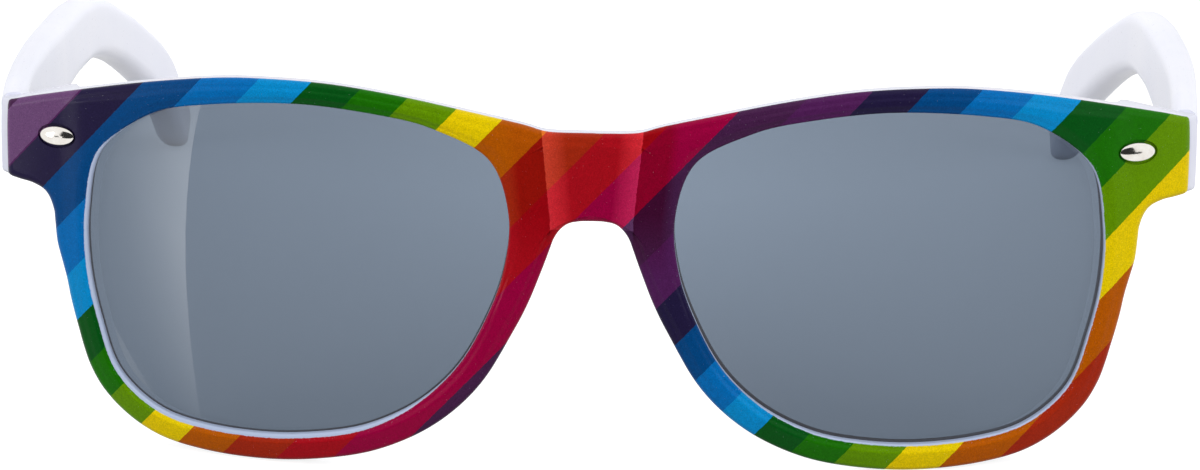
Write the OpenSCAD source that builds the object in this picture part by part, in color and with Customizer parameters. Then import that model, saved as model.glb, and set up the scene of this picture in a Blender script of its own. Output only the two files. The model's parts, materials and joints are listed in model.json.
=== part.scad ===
// Moulded sunglasses with folding temples, standing open on the rims and the
// two temple tips. +X is the wearer's left, the front faces -Y, +Z is up and
// the origin is at the middle of the footprint.
//
// The pieces are drawn in a datum frame: x = 0 is the middle plane, y = 0 the
// front of the bridge, and z = 0 the middle of the lens height, with the front
// upright. stand() then leans the whole back until rims and tips touch the ground.

/* [Front] */
// Width of one lens opening
lens_w = 52; // [46:0.2:56]
// Height of one lens opening
lens_h = 40.6; // [35:0.1:44]
// Gap between the two lens openings at the nose
bridge_w = 19.9; // [17:0.1:23]
// Height of the bridge's top edge above the lens middle
bridge_top = 17.95; // [16:0.05:19]
// Height of the bridge's lower edge above the lens middle
bridge_low = 7.35; // [6:0.05:9]
// Width of the nose arch just below the bridge
arch_w = 8.8; // [7.5:0.1:10]
// Radius that the front wraps round the face
wrap_r = 150; // [130:1:260]
// Thickness of the front
front_t = 3.6; // [3.2:0.1:4.4]

/* [Rims] */
// Width of the rim above the lens
rim_top = 2.8; // [2.2:0.1:4]
// Width of the rim at the outer side of the lens
rim_side = 3.35; // [2.6:0.05:4.4]
// Width of the rim below the lens
rim_bottom = 3.25; // [2.4:0.05:4.4]
// Width of the rim beside the nose
rim_nose = 3.5; // [2.6:0.05:4.4]
// Rounding of the front's outer edges
edge_r = 0.8; // [0.4:0.05:1.1]
// Height of the crown along the middle of the rims
crown = 0.2; // [0:0.05:0.4]
// Width of the bevel between the face and the lens
lip = 0.35; // [0.2:0.05:0.5]

/* [Bridge panel] */
// How far the bridge panel stands out
panel_raise = 0.35; // [0:0.05:0.6]
// Width of the panel at the arch
panel_low_w = 10; // [8:0.1:11]
// Width of the panel at the brow
panel_top_w = 12.2; // [10:0.1:13]
// Width of the rounding along the panel's two sides
panel_round = 1.5; // [0.8:0.1:2]

/* [End pieces] */
// Length of the end piece beyond the lens opening
end_len = 10.75; // [9.8:0.05:13]
// Height of the end face
end_h = 9.6; // [8.4:0.1:11]
// Height of the end face's middle above the lens middle
end_z = 13.45; // [12.4:0.05:14]
// Depth of the end face from front to back
end_t = 3.9; // [3.4:0.1:4.6]
// How far the end face leans out towards the temple
end_flare = 1.1; // [0.6:0.1:1.4]

/* [Nose pads] */
// How far the moulded nose pads stand out behind the rims
pad_depth = 4.0; // [2:0.1:5.5]
// How far the pads lean outwards
pad_flare = 1.5; // [0.5:0.1:1.8]

/* [Lenses] */
// Thickness of a lens
lens_t = 1.6; // [1.2:0.1:2]
// Depth of a lens behind the front of the rim
lens_inset = 1.3; // [1:0.1:1.6]
// Depth of the groove that holds a lens
groove_d = 0.9; // [0.6:0.05:1.2]
// Clearance round a lens in its groove
lens_fit = 0.12; // [0.08:0.01:0.2]

/* [Studs] */
// Length of a stud's oval head
stud_l = 5.0; // [4:0.1:6]
// Height of a stud's oval head
stud_h = 2.45; // [2:0.05:3]
// Distance of a stud's middle from the end of the front
stud_in = 6.65; // [5.8:0.05:7]
// Height of a stud's middle above the lens middle
stud_z = 14.35; // [13:0.05:15]
// Thickness of a stud's head at its middle
stud_dome = 0.95; // [0.7:0.05:1.2]
// Depth of the pocket round a stud
stud_sink = 0.35; // [0.2:0.05:0.6]
// Width of the gap round a stud's head
stud_gap = 0.3; // [0.15:0.05:0.5]
// Length of a stud's two pins
stud_pin_l = 2.0; // [1.5:0.1:2.4]
// Thickness of a stud's head at its edge
stud_wall = 0.25; // [0.15:0.05:0.4]

/* [Hinges] */
// Radius of a hinge barrel
barrel_r = 1.25; // [1.1:0.05:1.4]
// Height of the whole hinge barrel
barrel_h = 6.0; // [5:0.1:7]
// Radius of the hinge screw
screw_r = 0.7; // [0.6:0.05:0.8]
// Radial clearance round the screw
screw_fit = 0.05; // [0.03:0.01:0.08]
// Thickness of a hinge leaf
leaf_t = 0.9; // [0.7:0.05:1.1]
// Height of a hinge leaf
leaf_h = 5.4; // [5:0.1:6.4]
// Length of the leaf on the front, from the hinge's axis
front_leaf_l = 4.9; // [4.6:0.1:5.2]
// Length of the leaf on the temple, from the hinge's axis
temple_leaf_l = 10.5; // [9:0.1:14]
// Distance of the hinge's axis behind the end piece
axis_back = 1.35; // [1.25:0.05:1.6]
// Distance of the hinge's axis from the temple's outer face
axis_in = 4.85; // [4.7:0.05:5.2]
// Radius of a rivet's shank
rivet_r = 0.6; // [0.5:0.05:0.7]
// Depth of a rivet in the plastic
rivet_l = 1.8; // [1.4:0.1:2]
// Radius of a rivet's head
rivet_head_r = 1.0; // [0.8:0.05:1.1]
// Height of a rivet's head
rivet_head_h = 0.35; // [0.2:0.05:0.5]
// Height of the screw's head
screw_head_h = 0.55; // [0.4:0.05:0.7]
// Width of the screw's slot
slot_w = 0.3; // [0.2:0.05:0.4]
// Clearance between moving faces of the hinge
hinge_gap = 0.1; // [0.06:0.01:0.15]

/* [Temples] */
// Reach of a temple behind the end piece
temple_reach = 127; // [110:1:140]
// Height of a temple at its middle
temple_h = 11.4; // [10.5:0.1:12.4]
// Height of a temple behind the ear
ear_h = 8.4; // [7:0.1:9.6]
// Thickness of a temple at its root
temple_t = 3.3; // [3:0.1:3.8]
// Thickness of a temple behind the ear
ear_t = 4.6; // [3.4:0.1:5]
// Rounding of a temple's long edges
temple_edge_r = 1.2; // [0.6:0.1:1.4]
// Drop of a temple's tip below its straight part
tip_drop = 20.7; // [14:0.1:26]
// How far the temples spread from the hinge to the ear
spread = 3.8; // [1:0.1:4.4]
// How far the tips draw in behind the ear
tip_in = 10.2; // [4:0.1:12]
// How far a temple stands proud of the end piece
temple_proud = 0.1; // [0:0.05:0.4]
// Depth of the small flats that rims and tips rest on
foot_flat = 0.15; // [0.1:0.01:0.25]

/* [Hidden] */

// Lens box and end piece
lens_x0 = bridge_w / 2;
lens_x1 = lens_x0 + lens_w;
lens_mid = lens_x0 + lens_w / 2;
lens_top = lens_h / 2;
end_x = lens_x1 + end_len;
end_top = end_z + end_h / 2;
end_low = end_z - end_h / 2;
butt_y = wrap_y(end_x, 0) + end_t;
back_x = end_x + end_flare;

// Hinge
axis_x = back_x + temple_proud - axis_in;
axis_y = butt_y + axis_back;
hinge_up = 0.6;
hinge_z = end_z + hinge_up;
knuckle = barrel_h / 3;
rivet_fit = 0.04;
stud_x = end_x - stud_in;

// Outline of one lens opening, clockwise from the nasal top corner, as shares
// of half the lens width and half its height
LENS = [[-0.91, 0.71], [-0.67, 0.875], [-0.43, 0.95], [-0.02, 1], [0.42, 0.965], [0.70, 0.88],
        [0.935, 0.635], [1, 0.27], [0.995, -0.07], [0.94, -0.39], [0.85, -0.69], [0.66, -0.895],
        [0.42, -0.978], [0.10, -1], [-0.205, -0.957], [-0.41, -0.878], [-0.605, -0.735],
        [-0.77, -0.527], [-0.89, -0.26], [-0.978, 0.05], [-1, 0.387]];

function clamp01(t) = min(1, max(0, t));
function ease(t) = let (c = clamp01(t)) c * c * (3 - 2 * c);
function mix(a, b, t) = a + (b - a) * t;
function unit(v) = v / norm(v);
function right_of(v) = [v[1], -v[0]];

// Point between p1 and p2 on a smooth curve through four points
function spline(p0, p1, p2, p3, t) =
    0.5 * (2 * p1 + (p2 - p0) * t + (2 * p0 - 5 * p1 + 4 * p2 - p3) * t * t
           + (3 * p1 - p0 - 3 * p2 + p3) * t * t * t);
function on_loop(p, u) =
    let (n = len(p), v = u + n, i = floor(v))
    spline(p[(i - 1) % n], p[i % n], p[(i + 1) % n], p[(i + 2) % n], v - i);
function on_line(p, s) =
    let (n = len(p) - 1, i = min(n - 1, max(0, floor(s))))
    spline(i == 0 ? 2 * p[0] - p[1] : p[i - 1], p[i], p[i + 1],
           i + 1 == n ? 2 * p[n] - p[n - 1] : p[i + 2], s - i);

// Depth of the wrapped front, and of a layer a deep behind it
function wrap_y(x, a) = wrap_r - sqrt((wrap_r - a) * (wrap_r - a) - x * x);

// Lens opening at u, and the direction from the lens into the rim there
function lens_at(u) =
    let (q = on_loop(LENS, u)) [lens_mid + q[0] * lens_w / 2, q[1] * lens_h / 2];
function lens_out(u) = -right_of(unit(lens_at(u + 0.05) - lens_at(u - 0.05)));

// Brow line from the middle plane to the end piece's top corner
brow_z = lens_top + rim_top;
brow = concat(
    [[0, bridge_top], [0.27 * bridge_w, bridge_top + 0.1], [0.42 * bridge_w, bridge_top + 0.85]],
    [for (q = [[-0.84, -3.1], [-0.51, -1.45], [-0.18, -0.3], [0.12, 0], [0.39, -0.25], [0.735, -1.4]])
        [lens_mid + q[0] * lens_w / 2, brow_z + q[1]]],
    [[lens_x1 + 0.22 * end_len, mix(brow_z - 1.4, end_top, 0.5)], [end_x - 0.3, end_top]]);
brow_u = [[0, -0.5], [1, -0.3], [2, -0.1], [3, 0.35], [4, 1.7], [5, 2.65], [6, 3.35],
          [7, 3.95], [8, 4.95], [9, 5.35], [10, 5.6]];

// Step under the end piece, down to the outer side of the rim
side_flare = 1.0;
step_x = lens_x1 + rim_side + side_flare;
step_u = 7 + (0.27 - (end_low - 5.2) / lens_top) / 0.34;
step = [[end_x - 0.6, end_low], [mix(step_x, end_x, 0.72), end_low - 0.25],
        [mix(step_x, end_x, 0.5), end_low - 0.5], [step_x + 1.75, end_low - 1.1],
        [step_x + 0.95, end_low - 1.95], [step_x + 0.45, end_low - 3.1],
        [step_x + 0.15, end_low - 4.3]];

// Width of the rim from the step round the bottom to the nose
nose_u = 17.6;
function rim_w(u) =
    mix(mix(rim_side + side_flare * (1 - ease(u - step_u)), rim_bottom, ease((u - 9.5) / 2.5)),
        rim_nose, ease((u - 14) / 3));
function rim_at(u) = lens_at(u) + lens_out(u) * rim_w(u);

// Nose edge from the lower rim up to the middle of the arch
shoulder = [arch_w / 2, bridge_low - 2];
nose = [rim_at(nose_u), mix(rim_at(nose_u), shoulder, 0.4) - [0.5, 0],
        mix(rim_at(nose_u), shoulder, 0.8) - [0.22, 0], shoulder,
        [0.7 * shoulder[0], bridge_low - 0.5], [0.35 * shoulder[0], bridge_low - 0.06],
        [0, bridge_low]];

// Stations round one half of the front: outer point, lens position, on the middle plane
plane_n = 4;
arch_u = 19.8;
stations = concat(
    [for (k = [0 : 29]) let (s = k / 3) [on_line(brow, s), lookup(s, brow_u), k == 0]],
    [for (c = [[-0.9, 0.16, 5.62], [-0.3, 0, 5.64], [0, 0.35, 5.68], [0.12, 1.2, 5.75],
               [0.2, end_h / 3, 5.85], [0.2, end_h * 0.6, 6.0], [0.15, end_h - 1, 6.15],
               [0.02, end_h - 0.3, 6.22]])
        [[end_x + c[0] - 0.15, end_top - c[1]], c[2], false]],
    [for (k = [0 : 17]) let (s = k / 3)
        [on_line(step, s), mix(6.3, step_u - 0.1, k / 18), false]],
    [for (k = [0 : 33]) let (u = mix(step_u, nose_u, k / 34)) [rim_at(u), u, false]],
    [for (k = [0 : 15]) let (s = 6 * k / 15) [on_line(nose, s), mix(nose_u, arch_u, k / 15), k == 15]],
    [for (k = [1 : plane_n]) let (t = k / (plane_n + 1))
        [[0, mix(bridge_low + edge_r, bridge_top - edge_r, t)], mix(arch_u, 20.5, t), true]]);
n_st = len(stations);
n_edge = n_st - plane_n;

// Direction from the outer edge into the front at station i
function edge_in(i) =
    i == 0 ? [0, -1] : i == n_edge - 1 ? [0, 1] : i >= n_edge ? [1, 0] :
    right_of(unit(stations[i + 1][0] - stations[i - 1][0]));

// Front face, with the bridge panel that rises in a quarter round from each side
function panel_x(z) =
    mix(panel_low_w, panel_top_w, clamp01((z - bridge_low) / (bridge_top - bridge_low))) / 2;
function face_y(p) =
    let (t = clamp01((panel_x(p[1]) - p[0]) / panel_round))
    wrap_y(p[0], 0) - panel_raise * sqrt(t * (2 - t));

// Back face: a wrapped layer, deepened to a flat seat behind the end piece
seat_x = lens_x1 + groove_d + 0.4;
seat_z = end_low - 3.2;
seat_fade = 1.5;
function back_y(p) =
    mix(wrap_y(p[0], front_t), butt_y,
        ease((p[0] - seat_x) / seat_fade) * ease((p[1] - seat_z) / (seat_fade + 0.7)));

// Share of the nose pad's depth at a point of the nose edge
pad_low = -13;
pad_top = 5.5;
pad_fade = 6;
function pad(p) = (p[0] < lens_mid ? 1 : 0) * ease((p[1] - pad_low) / pad_fade)
    * ease((pad_top - p[1]) / pad_fade) * ease((lens_x0 + pad_fade + 2 - p[0]) / (pad_fade - 1));
flare_l = 2.5;
function flared(p) = p + [end_flare * ease((p[0] - end_x + flare_l) / 2), 0];

// Section of the front at station i: sixteen points from the outer edge across
// the face, down the lens groove and back over the rear. Where it crosses the
// bridge panel, the two points on its face lie on the panel's rounding.
shelf = 0.2;
function section(i) =
    let (o = stations[i][0], u = stations[i][1], mid = stations[i][2] && i >= n_edge,
         n = edge_in(i), r = mid ? 0 : edge_r, q = lens_at(u), m = lens_out(u),
         f = o + n * r, j = q + m * lip, w = norm(j - f),
         side = (panel_x(o[1]) - f[0]) / max(1, j[0] - f[0]),
         crosses = f[0] < panel_low_w / 2 && side > 0.1,
         t2 = crosses ? min(0.75, side) : max(0.65, 1 - 1.5 / w),
         t1 = crosses ? max(0.04, t2 - 0.7 * panel_round / w) : min(0.35, 1.5 / w),
         a1 = mix(f, j, t1), a2 = mix(f, j, t2), g = q + m * groove_d, b = q + m * shelf,
         k = pad(o), fb = f + n * pad_flare * k, c1 = mix(b, fb, min(0.33, 1.0 / w)),
         c2 = mix(b, fb, min(0.66, 3.2 / w)), ob = flared(o + n * pad_flare * k), fo = flared(fb))
    [[o[0], face_y(o) + r, o[1]],
     [o[0] + n[0] * arc_mid * r, face_y(o) + arc_mid * r, o[1] + n[1] * arc_mid * r],
     [f[0], face_y(f), f[1]],
     [a1[0], face_y(a1) - crown, a1[1]],
     [a2[0], face_y(a2) - crown, a2[1]],
     [j[0], face_y(j), j[1]],
     [q[0], wrap_y(q[0], lip), q[1]],
     [q[0], wrap_y(q[0], lens_inset), q[1]],
     [g[0], wrap_y(g[0], lens_inset), g[1]],
     [g[0], wrap_y(g[0], lens_inset + lens_t + 2 * lens_fit), g[1]],
     [b[0], wrap_y(b[0], lens_inset + lens_t + 2 * lens_fit), b[1]],
     [b[0], wrap_y(b[0], front_t), b[1]],
     [c1[0], back_y(c1), c1[1]],
     [c2[0], back_y(c2) + 0.6 * pad_depth * k, c2[1]],
     [fo[0], back_y(fo) + pad_depth * k, fo[1]],
     [ob[0], back_y(ob) + pad_depth * k - r, ob[1]]];

n_sec = 16;
arc_mid = 1 - sin(45);
half_pts = [for (i = [0 : n_st - 1]) each section(i)];
front_pts = concat(half_pts, [for (p = half_pts) [-p[0], p[1], p[2]]]);

// Points on the middle plane belong to both halves
function on_plane(i, j) = stations[i][2] && (j < 3 || j > 13);
function vertex(side, i, j) =
    (side == 1 && on_plane(i, j) ? 0 : side * n_st * n_sec) + i * n_sec + j;
function inside(i, k, j) =
    stations[i][2] && stations[k][2] && (j < 2 || j > 13);
front_faces = [for (side = [0, 1], i = [0 : n_st - 1], j = [0 : n_sec - 1])
    let (k = (i + 1) % n_st, l = (j + 1) % n_sec)
    if (!inside(i, k, j))
        each let (a = vertex(side, i, j), b = vertex(side, k, j),
                  c = vertex(side, k, l), d = vertex(side, i, l))
            side == 0 ? [[a, b, c], [a, c, d]] : [[a, c, b], [a, d, c]]];

// Temple: middle line, heights and outer face along its reach
tip_r = ear_h / 2;
root_up = 0.3;
root_z = end_z + root_up;
bend_share = 0.55;
curl = 2;
// Middle line as shares of the reach, and heights above the root's middle;
// below the root they are shares of the tip's drop
temple_line = [[0, 0], [0.05, 0.6], [0.14, 0.75], [0.29, 0.8], [0.45, 0.85], [0.585, 1.5], [0.69, 1.5],
               [0.785, -0.06], [0.865, -0.258], [0.928, -0.49], [0.971, -0.832]];
temple_high = [[0, 0.86], [0.05, 0.98], [0.14, 1], [0.29, 0.96], [0.45, 0.92], [0.585, 0.85]];
ear_high = [[0.585, 1.16], [0.69, 1.05], [0.785, 0.95], [0.928, 1.01], [0.971, 1]];
function tip_y(s) = butt_y + hinge_gap + s * temple_reach;

// Rounded corners of a temple's section
temple_ring = [for (c = [[1, 1, 0], [-1, 1, 90], [-1, -1, 180], [1, -1, 270]], a = [0, 30, 60, 90])
    [c[0], c[1], cos(c[2] + a), sin(c[2] + a)]];

temple_path = [for (p = temple_line) [tip_y(p[0]), root_z + p[1] * (p[1] < 0 ? tip_drop : 1)]];
function temple_mid(s) = on_line(temple_path, s);
function temple_hi(s) =
    let (t = on_line(temple_line, s)[0], e = ease((t - 0.45) / 0.24))
    mix(temple_h * lookup(t, temple_high), ear_h * lookup(t, ear_high), e);
function temple_thick(s) = mix(temple_t, ear_t, ease(on_line(temple_line, s)[0] / bend_share));
function temple_x(y) =
    let (t = (y - butt_y) / temple_reach)
    back_x + temple_proud + spread * sin(90 * clamp01(t / bend_share))
    - tip_in * pow(max(0, (t - bend_share) / (1 - bend_share)), curl);
function temple_section(s, along, hs, ts) =
    let (c = temple_mid(s), d = unit(temple_mid(s + 0.05) - temple_mid(s - 0.05)),
         h = max(0.4, temple_hi(s) / 2 * hs), t = max(0.2, temple_thick(s) / 2 * ts),
         r = min(temple_edge_r, 0.75 * t, 0.75 * h), m = c + d * along)
    [for (q = temple_ring)
        let (v = q[1] * (h - r) + q[3] * r, w = q[0] * (t - r) + q[2] * r,
             y = m[0] - d[1] * v)
        [temple_x(m[0]) - temple_t / 2 + w, y, m[1] + d[0] * v]];
n_along = 44;
n_round = 6;
s_end = len(temple_line) - 1;
temple_rings = concat(
    [for (k = [0 : n_along]) temple_section(0.001 + (s_end - 0.06) * k / n_along, 0, 1, 1)],
    [for (k = [1 : n_round]) let (a = 90 * k / n_round)
        temple_section(s_end - 0.06, tip_r * sin(a) * 0.999, cos(a), sqrt(max(0.05, cos(a))))]);
n_ring = len(temple_ring);
temple_pts = [for (r = temple_rings) each r];
temple_faces = concat(
    [[for (j = [0 : n_ring - 1]) j]],
    [[for (j = [0 : n_ring - 1]) len(temple_pts) - 1 - j]],
    [for (i = [0 : len(temple_rings) - 2], j = [0 : n_ring - 1])
        let (k = (j + 1) % n_ring, a = i * n_ring, b = a + n_ring)
        each [[a + j, b + j, b + k], [a + j, b + k, a + k]]]);

// Lean that brings rims and tips to one level
function low(pts, a) = min([for (p = pts) p[2] * cos(a) - p[1] * sin(a)]);
function lean(a, b, n) =
    let (m = (a + b) / 2)
    n == 0 ? m : low(front_pts, m) < low(temple_pts, m) ? lean(m, b, n - 1) : lean(a, m, n - 1);
rest_lean = lean(-5, 25, 26);
function deep(pts) = [for (p = pts) p[1] * cos(rest_lean) + p[2] * sin(rest_lean)];
shift_y = -(min(deep(front_pts)) + max(deep(temple_pts))) / 2;
shift_z = -low(front_pts, rest_lean) - foot_flat;

// Stands the datum frame on the ground
module stand() { translate([0, shift_y, shift_z]) rotate([-rest_lean, 0, 0]) children(); }

// Reach of cutting shapes past the surfaces that they open
cut = 3;

// Everything below the ground
module ground() {
    translate([-2 * end_x, -2 * temple_reach, -cut]) cube([4 * end_x, 4 * temple_reach, cut]);
}

// Repeats the wearer's left side on the right
module mirrored(side) { if (side > 0) children(); else mirror([1, 0, 0]) children(); }

// Frame of a stud: its middle on the front face, +Z out of the face
module at_stud() {
    translate([stud_x, wrap_y(stud_x, 0), stud_z])
        rotate([90, 0, 0]) rotate([0, asin(stud_x / wrap_r), 0]) children();
}

// Frame of a hinge: +Z up its axis, halfway up its barrel
module at_hinge() { translate([axis_x, axis_y, hinge_z]) children(); }

// Oval of the given half sizes
function oval(a, b) = [for (t = [0 : 10 : 350]) [a * cos(t), b * sin(t)]];

// Two places along a stud or across a leaf
module pair(d) { for (s = [-1, 1]) translate(s * d) children(); }

// Bore for a pin or rivet of length l, with a little room at its end
module pin_bore(l) {
    translate([0, 0, -l - hinge_gap]) cylinder(r = rivet_r + rivet_fit, h = l + 1, $fn = 24);
}

module rim_cuts() {
    at_stud() translate([0, 0, -stud_sink]) {
        linear_extrude(cut) polygon(oval(stud_l / 2 + stud_gap, stud_h / 2 + stud_gap));
        pair([stud_pin_x, 0, 0]) pin_bore(stud_pin_l);
    }
    front_rivet_places() pin_bore(rivet_l);
}

module front_frame() {
    color("white") difference() {
        stand() difference() {
            polyhedron(front_pts, front_faces, convexity = 10);
            rim_cuts();
            mirror([1, 0, 0]) rim_cuts();
        }
        ground();
    }
}

// Curved sheet between two depths behind the front, over the lens outline
module lens(side) {
    color([0.42, 0.47, 0.52]) stand() mirrored(side) intersection() {
        translate([0, wrap_r / 2, 0]) rotate([90, 0, 0]) linear_extrude(wrap_r, center = true)
            polygon([for (i = [0 : n_st - 1])
                let (u = stations[i][1]) lens_at(u) + lens_out(u) * (groove_d - lens_fit)]);
        translate([0, wrap_r, -lens_h]) difference() {
            cylinder(r = wrap_r - lens_inset - lens_fit, h = 2 * lens_h, $fn = 90);
            translate([0, 0, -1]) cylinder(r = wrap_r - lens_inset - lens_fit - lens_t,
                                           h = 2 * lens_h + 2, $fn = 90);
        }
    }
}

// Domed oval head with two pins behind it
stud_pin_x = 0.27 * stud_l;
dome_rings = [0, 22, 45, 68, 84];
dome_pts = concat(
    [for (p = oval(stud_l / 2, stud_h / 2)) [p[0], p[1], -stud_sink]],
    [for (a = dome_rings) each [for (p = oval(stud_l / 2 * cos(a), stud_h / 2 * cos(a)))
        [p[0], p[1], -stud_sink + stud_wall + (stud_dome - stud_wall) * sin(a)]]]);
n_oval = len(oval(1, 1));
dome_faces = concat(
    [[for (j = [0 : n_oval - 1]) n_oval - 1 - j]],
    [[for (j = [0 : n_oval - 1]) len(dome_pts) - n_oval + j]],
    [for (i = [0 : len(dome_rings) - 1], j = [0 : n_oval - 1])
        let (k = (j + 1) % n_oval, a = i * n_oval, b = a + n_oval)
        each [[a + j, a + k, b + k], [a + j, b + k, b + j]]]);
module stud(side) {
    color("silver") stand() mirrored(side) at_stud() {
        polyhedron(dome_pts, [for (f = dome_faces) [for (k = [len(f) - 1 : -1 : 0]) f[k]]]);
        pair([stud_pin_x, 0, 0]) translate([0, 0, -stud_sink - stud_pin_l])
            cylinder(r = rivet_r, h = stud_pin_l + 0.1, $fn = 24);
    }
}

// Rounded plate of the leaf outline, its long side along +X from the axis
module leaf_plate(l) {
    linear_extrude(leaf_t) difference() {
        translate([0, -leaf_h / 2]) square([l, leaf_h]);
        for (s = [-1, 1]) translate([l, s * leaf_h / 2]) difference() {
            square(2, center = true);
            translate([-1, -s]) circle(r = 1, $fn = 24);
        }
    }
}

module barrel(z0, z1) { translate([0, 0, z0]) cylinder(r = barrel_r, h = z1 - z0, $fn = 40); }
module bore() {
    translate([0, 0, -barrel_h]) cylinder(r = screw_r + screw_fit, h = 2 * barrel_h, $fn = 32);
}

// Places of the two rivets through the leaf on the front, +Z out of the plastic
module front_rivet_places() {
    translate([axis_x - front_leaf_l + 1.5, butt_y, hinge_z]) rotate([-90, 0, 0])
        pair([0, leaf_h * 0.26, 0]) children();
}

// Places of the two rivets through the leaf on the temple, +Z out of the plastic
module temple_rivet_places() {
    for (t = [0.48, 0.82])
        translate([leaf_floor, axis_y + temple_leaf_l * t, hinge_z]) rotate([0, -90, 0]) children();
}

// Inner face of the temple where its leaf sits, in a shallow pocket
leaf_sunk = 0.15;
pocket_fit = 0.3;
leaf_floor = axis_x + axis_in - temple_t + leaf_sunk;

module front_hinge(side) {
    color("silver") stand() mirrored(side) difference() {
        union() {
            translate([axis_x, butt_y, hinge_z]) rotate([-90, 0, 0]) mirror([1, 0, 0])
                leaf_plate(front_leaf_l);
            at_hinge() {
                barrel(knuckle / 2 + hinge_gap / 2, barrel_h / 2);
                barrel(-barrel_h / 2, -knuckle / 2 - hinge_gap / 2);
            }
        }
        at_hinge() {
            bore();
            translate([0, 0, -knuckle / 2 - hinge_gap / 2])
                cylinder(r = barrel_r + hinge_gap, h = knuckle + hinge_gap, $fn = 40);
        }
        front_rivet_places() translate([0, 0, -1]) cylinder(r = rivet_r + rivet_fit, h = 3, $fn = 24);
    }
}

module temple_hinge(side) {
    color("silver") stand() mirrored(side) difference() {
        union() {
            translate([leaf_floor - leaf_t, axis_y - barrel_r / 2, hinge_z]) rotate([90, 0, 90])
                leaf_plate(temple_leaf_l + barrel_r / 2);
            at_hinge() barrel(-knuckle / 2 + hinge_gap / 2, knuckle / 2 - hinge_gap / 2);
        }
        at_hinge() {
            bore();
            for (s = [-1, 1]) translate([0, 0, s * (knuckle / 2 + barrel_h / 2 - hinge_gap / 2)])
                cylinder(r = barrel_r + hinge_gap, h = barrel_h, center = true, $fn = 40);
        }
        temple_rivet_places() translate([0, 0, -1]) cylinder(r = rivet_r + rivet_fit, h = 3, $fn = 24);
    }
}

// Rivet with a low domed head on the leaf
module rivet() {
    translate([0, 0, -rivet_l]) cylinder(r = rivet_r, h = rivet_l + leaf_t + 0.1, $fn = 24);
    translate([0, 0, leaf_t])
        cylinder(r1 = rivet_head_r, r2 = rivet_head_r - rivet_head_h, h = rivet_head_h, $fn = 28);
}
module front_rivets(side) { color("silver") stand() mirrored(side) front_rivet_places() rivet(); }
module temple_rivets(side) { color("silver") stand() mirrored(side) temple_rivet_places() rivet(); }

module hinge_screw(side) {
    color("silver") stand() mirrored(side) at_hinge() difference() {
        union() {
            translate([0, 0, -barrel_h / 2]) cylinder(r = screw_r, h = barrel_h + 0.1, $fn = 32);
            translate([0, 0, barrel_h / 2]) cylinder(r = barrel_r - 0.1, h = screw_head_h, $fn = 32);
        }
        translate([-barrel_r, -slot_w / 2, barrel_h / 2 + screw_head_h / 2])
            cube([2 * barrel_r, slot_w, screw_head_h]);
    }
}

module temple(side) {
    color("white") difference() {
        stand() mirrored(side) difference() {
            polyhedron(temple_pts, temple_faces, convexity = 6);
            translate([leaf_floor - cut, butt_y - pocket_fit, hinge_z - leaf_h / 2 - pocket_fit])
                cube([cut, axis_back + temple_leaf_l + 2 * pocket_fit, leaf_h + 2 * pocket_fit]);
            temple_rivet_places() pin_bore(rivet_l);
        }
        ground();
    }
}

front_frame();
lens(1);  // lens_left
lens(-1);  // lens_right
stud(1);  // stud_left
stud(-1);  // stud_right
front_hinge(1);  // front_hinge_left
front_hinge(-1);  // front_hinge_right
front_rivets(1);  // front_rivets_left
front_rivets(-1);  // front_rivets_right
hinge_screw(1);  // hinge_screw_left
hinge_screw(-1);  // hinge_screw_right
temple(1);  // temple_left
temple(-1);  // temple_right
temple_hinge(1);  // temple_hinge_left
temple_hinge(-1);  // temple_hinge_right
temple_rivets(1);  // temple_rivets_left
temple_rivets(-1);  // temple_rivets_right
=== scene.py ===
"""Looks of the striped sunglasses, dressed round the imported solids.

The pieces are drawn in the datum frame of the solids, in millimetres: x = 0 is the
middle plane, y = 0 the front of the bridge and z = 0 the middle of the lens height,
with the front upright. A Stand then leans the whole back onto its rims and tips, and
turns millimetres into metres.
"""

import json
import logging
import math
from dataclasses import dataclass, field
from enum import Enum
from typing import Any, Callable, Iterable, Sequence

import bmesh
import bpy
import numpy as np
from bpy.types import Material, Mesh, Node, NodeSocket, NodeTree, Object
from mathutils import Matrix, Vector


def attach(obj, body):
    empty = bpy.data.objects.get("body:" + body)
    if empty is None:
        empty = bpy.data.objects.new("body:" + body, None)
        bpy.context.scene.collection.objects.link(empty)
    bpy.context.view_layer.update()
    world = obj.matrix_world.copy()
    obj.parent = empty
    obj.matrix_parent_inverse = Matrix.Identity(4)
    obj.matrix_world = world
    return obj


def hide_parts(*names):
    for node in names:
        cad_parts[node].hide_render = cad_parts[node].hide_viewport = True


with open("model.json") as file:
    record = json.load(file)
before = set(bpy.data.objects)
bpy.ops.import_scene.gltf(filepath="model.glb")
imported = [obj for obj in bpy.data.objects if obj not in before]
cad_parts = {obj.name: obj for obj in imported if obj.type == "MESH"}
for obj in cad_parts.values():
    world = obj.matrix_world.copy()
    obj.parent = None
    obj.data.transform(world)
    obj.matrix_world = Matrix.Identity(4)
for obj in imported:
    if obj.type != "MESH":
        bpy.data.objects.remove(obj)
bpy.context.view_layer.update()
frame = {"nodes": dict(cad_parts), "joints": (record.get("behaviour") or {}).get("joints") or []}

log = logging.getLogger("sunglasses")
MM = 0.001
SHARP = 38.0
Point = tuple[float, float]
Place = tuple[float, float, float]
Faces = Iterable[Sequence[int]]
Colour = tuple[float, float, float, float]


class Side(Enum):
    """The wearer's two sides, as the sign of x."""

    LEFT = 1
    RIGHT = -1

    @property
    def word(self) -> str:
        """The side's name in node and body names."""
        return self.name.lower()


def clamp01(t: float) -> float:
    """The number t, held between 0 and 1."""
    return min(1.0, max(0.0, t))


def ease(t: float) -> float:
    """A smooth rise from 0 to 1 while t goes from 0 to 1."""
    c = clamp01(t)
    return c * c * (3 - 2 * c)


def swell(value: float, start: float, run: float) -> float:
    """A smooth rise from 0 to 1 that begins at start; a run below nought rises downwards."""
    return ease((value - start) / run)


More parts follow.
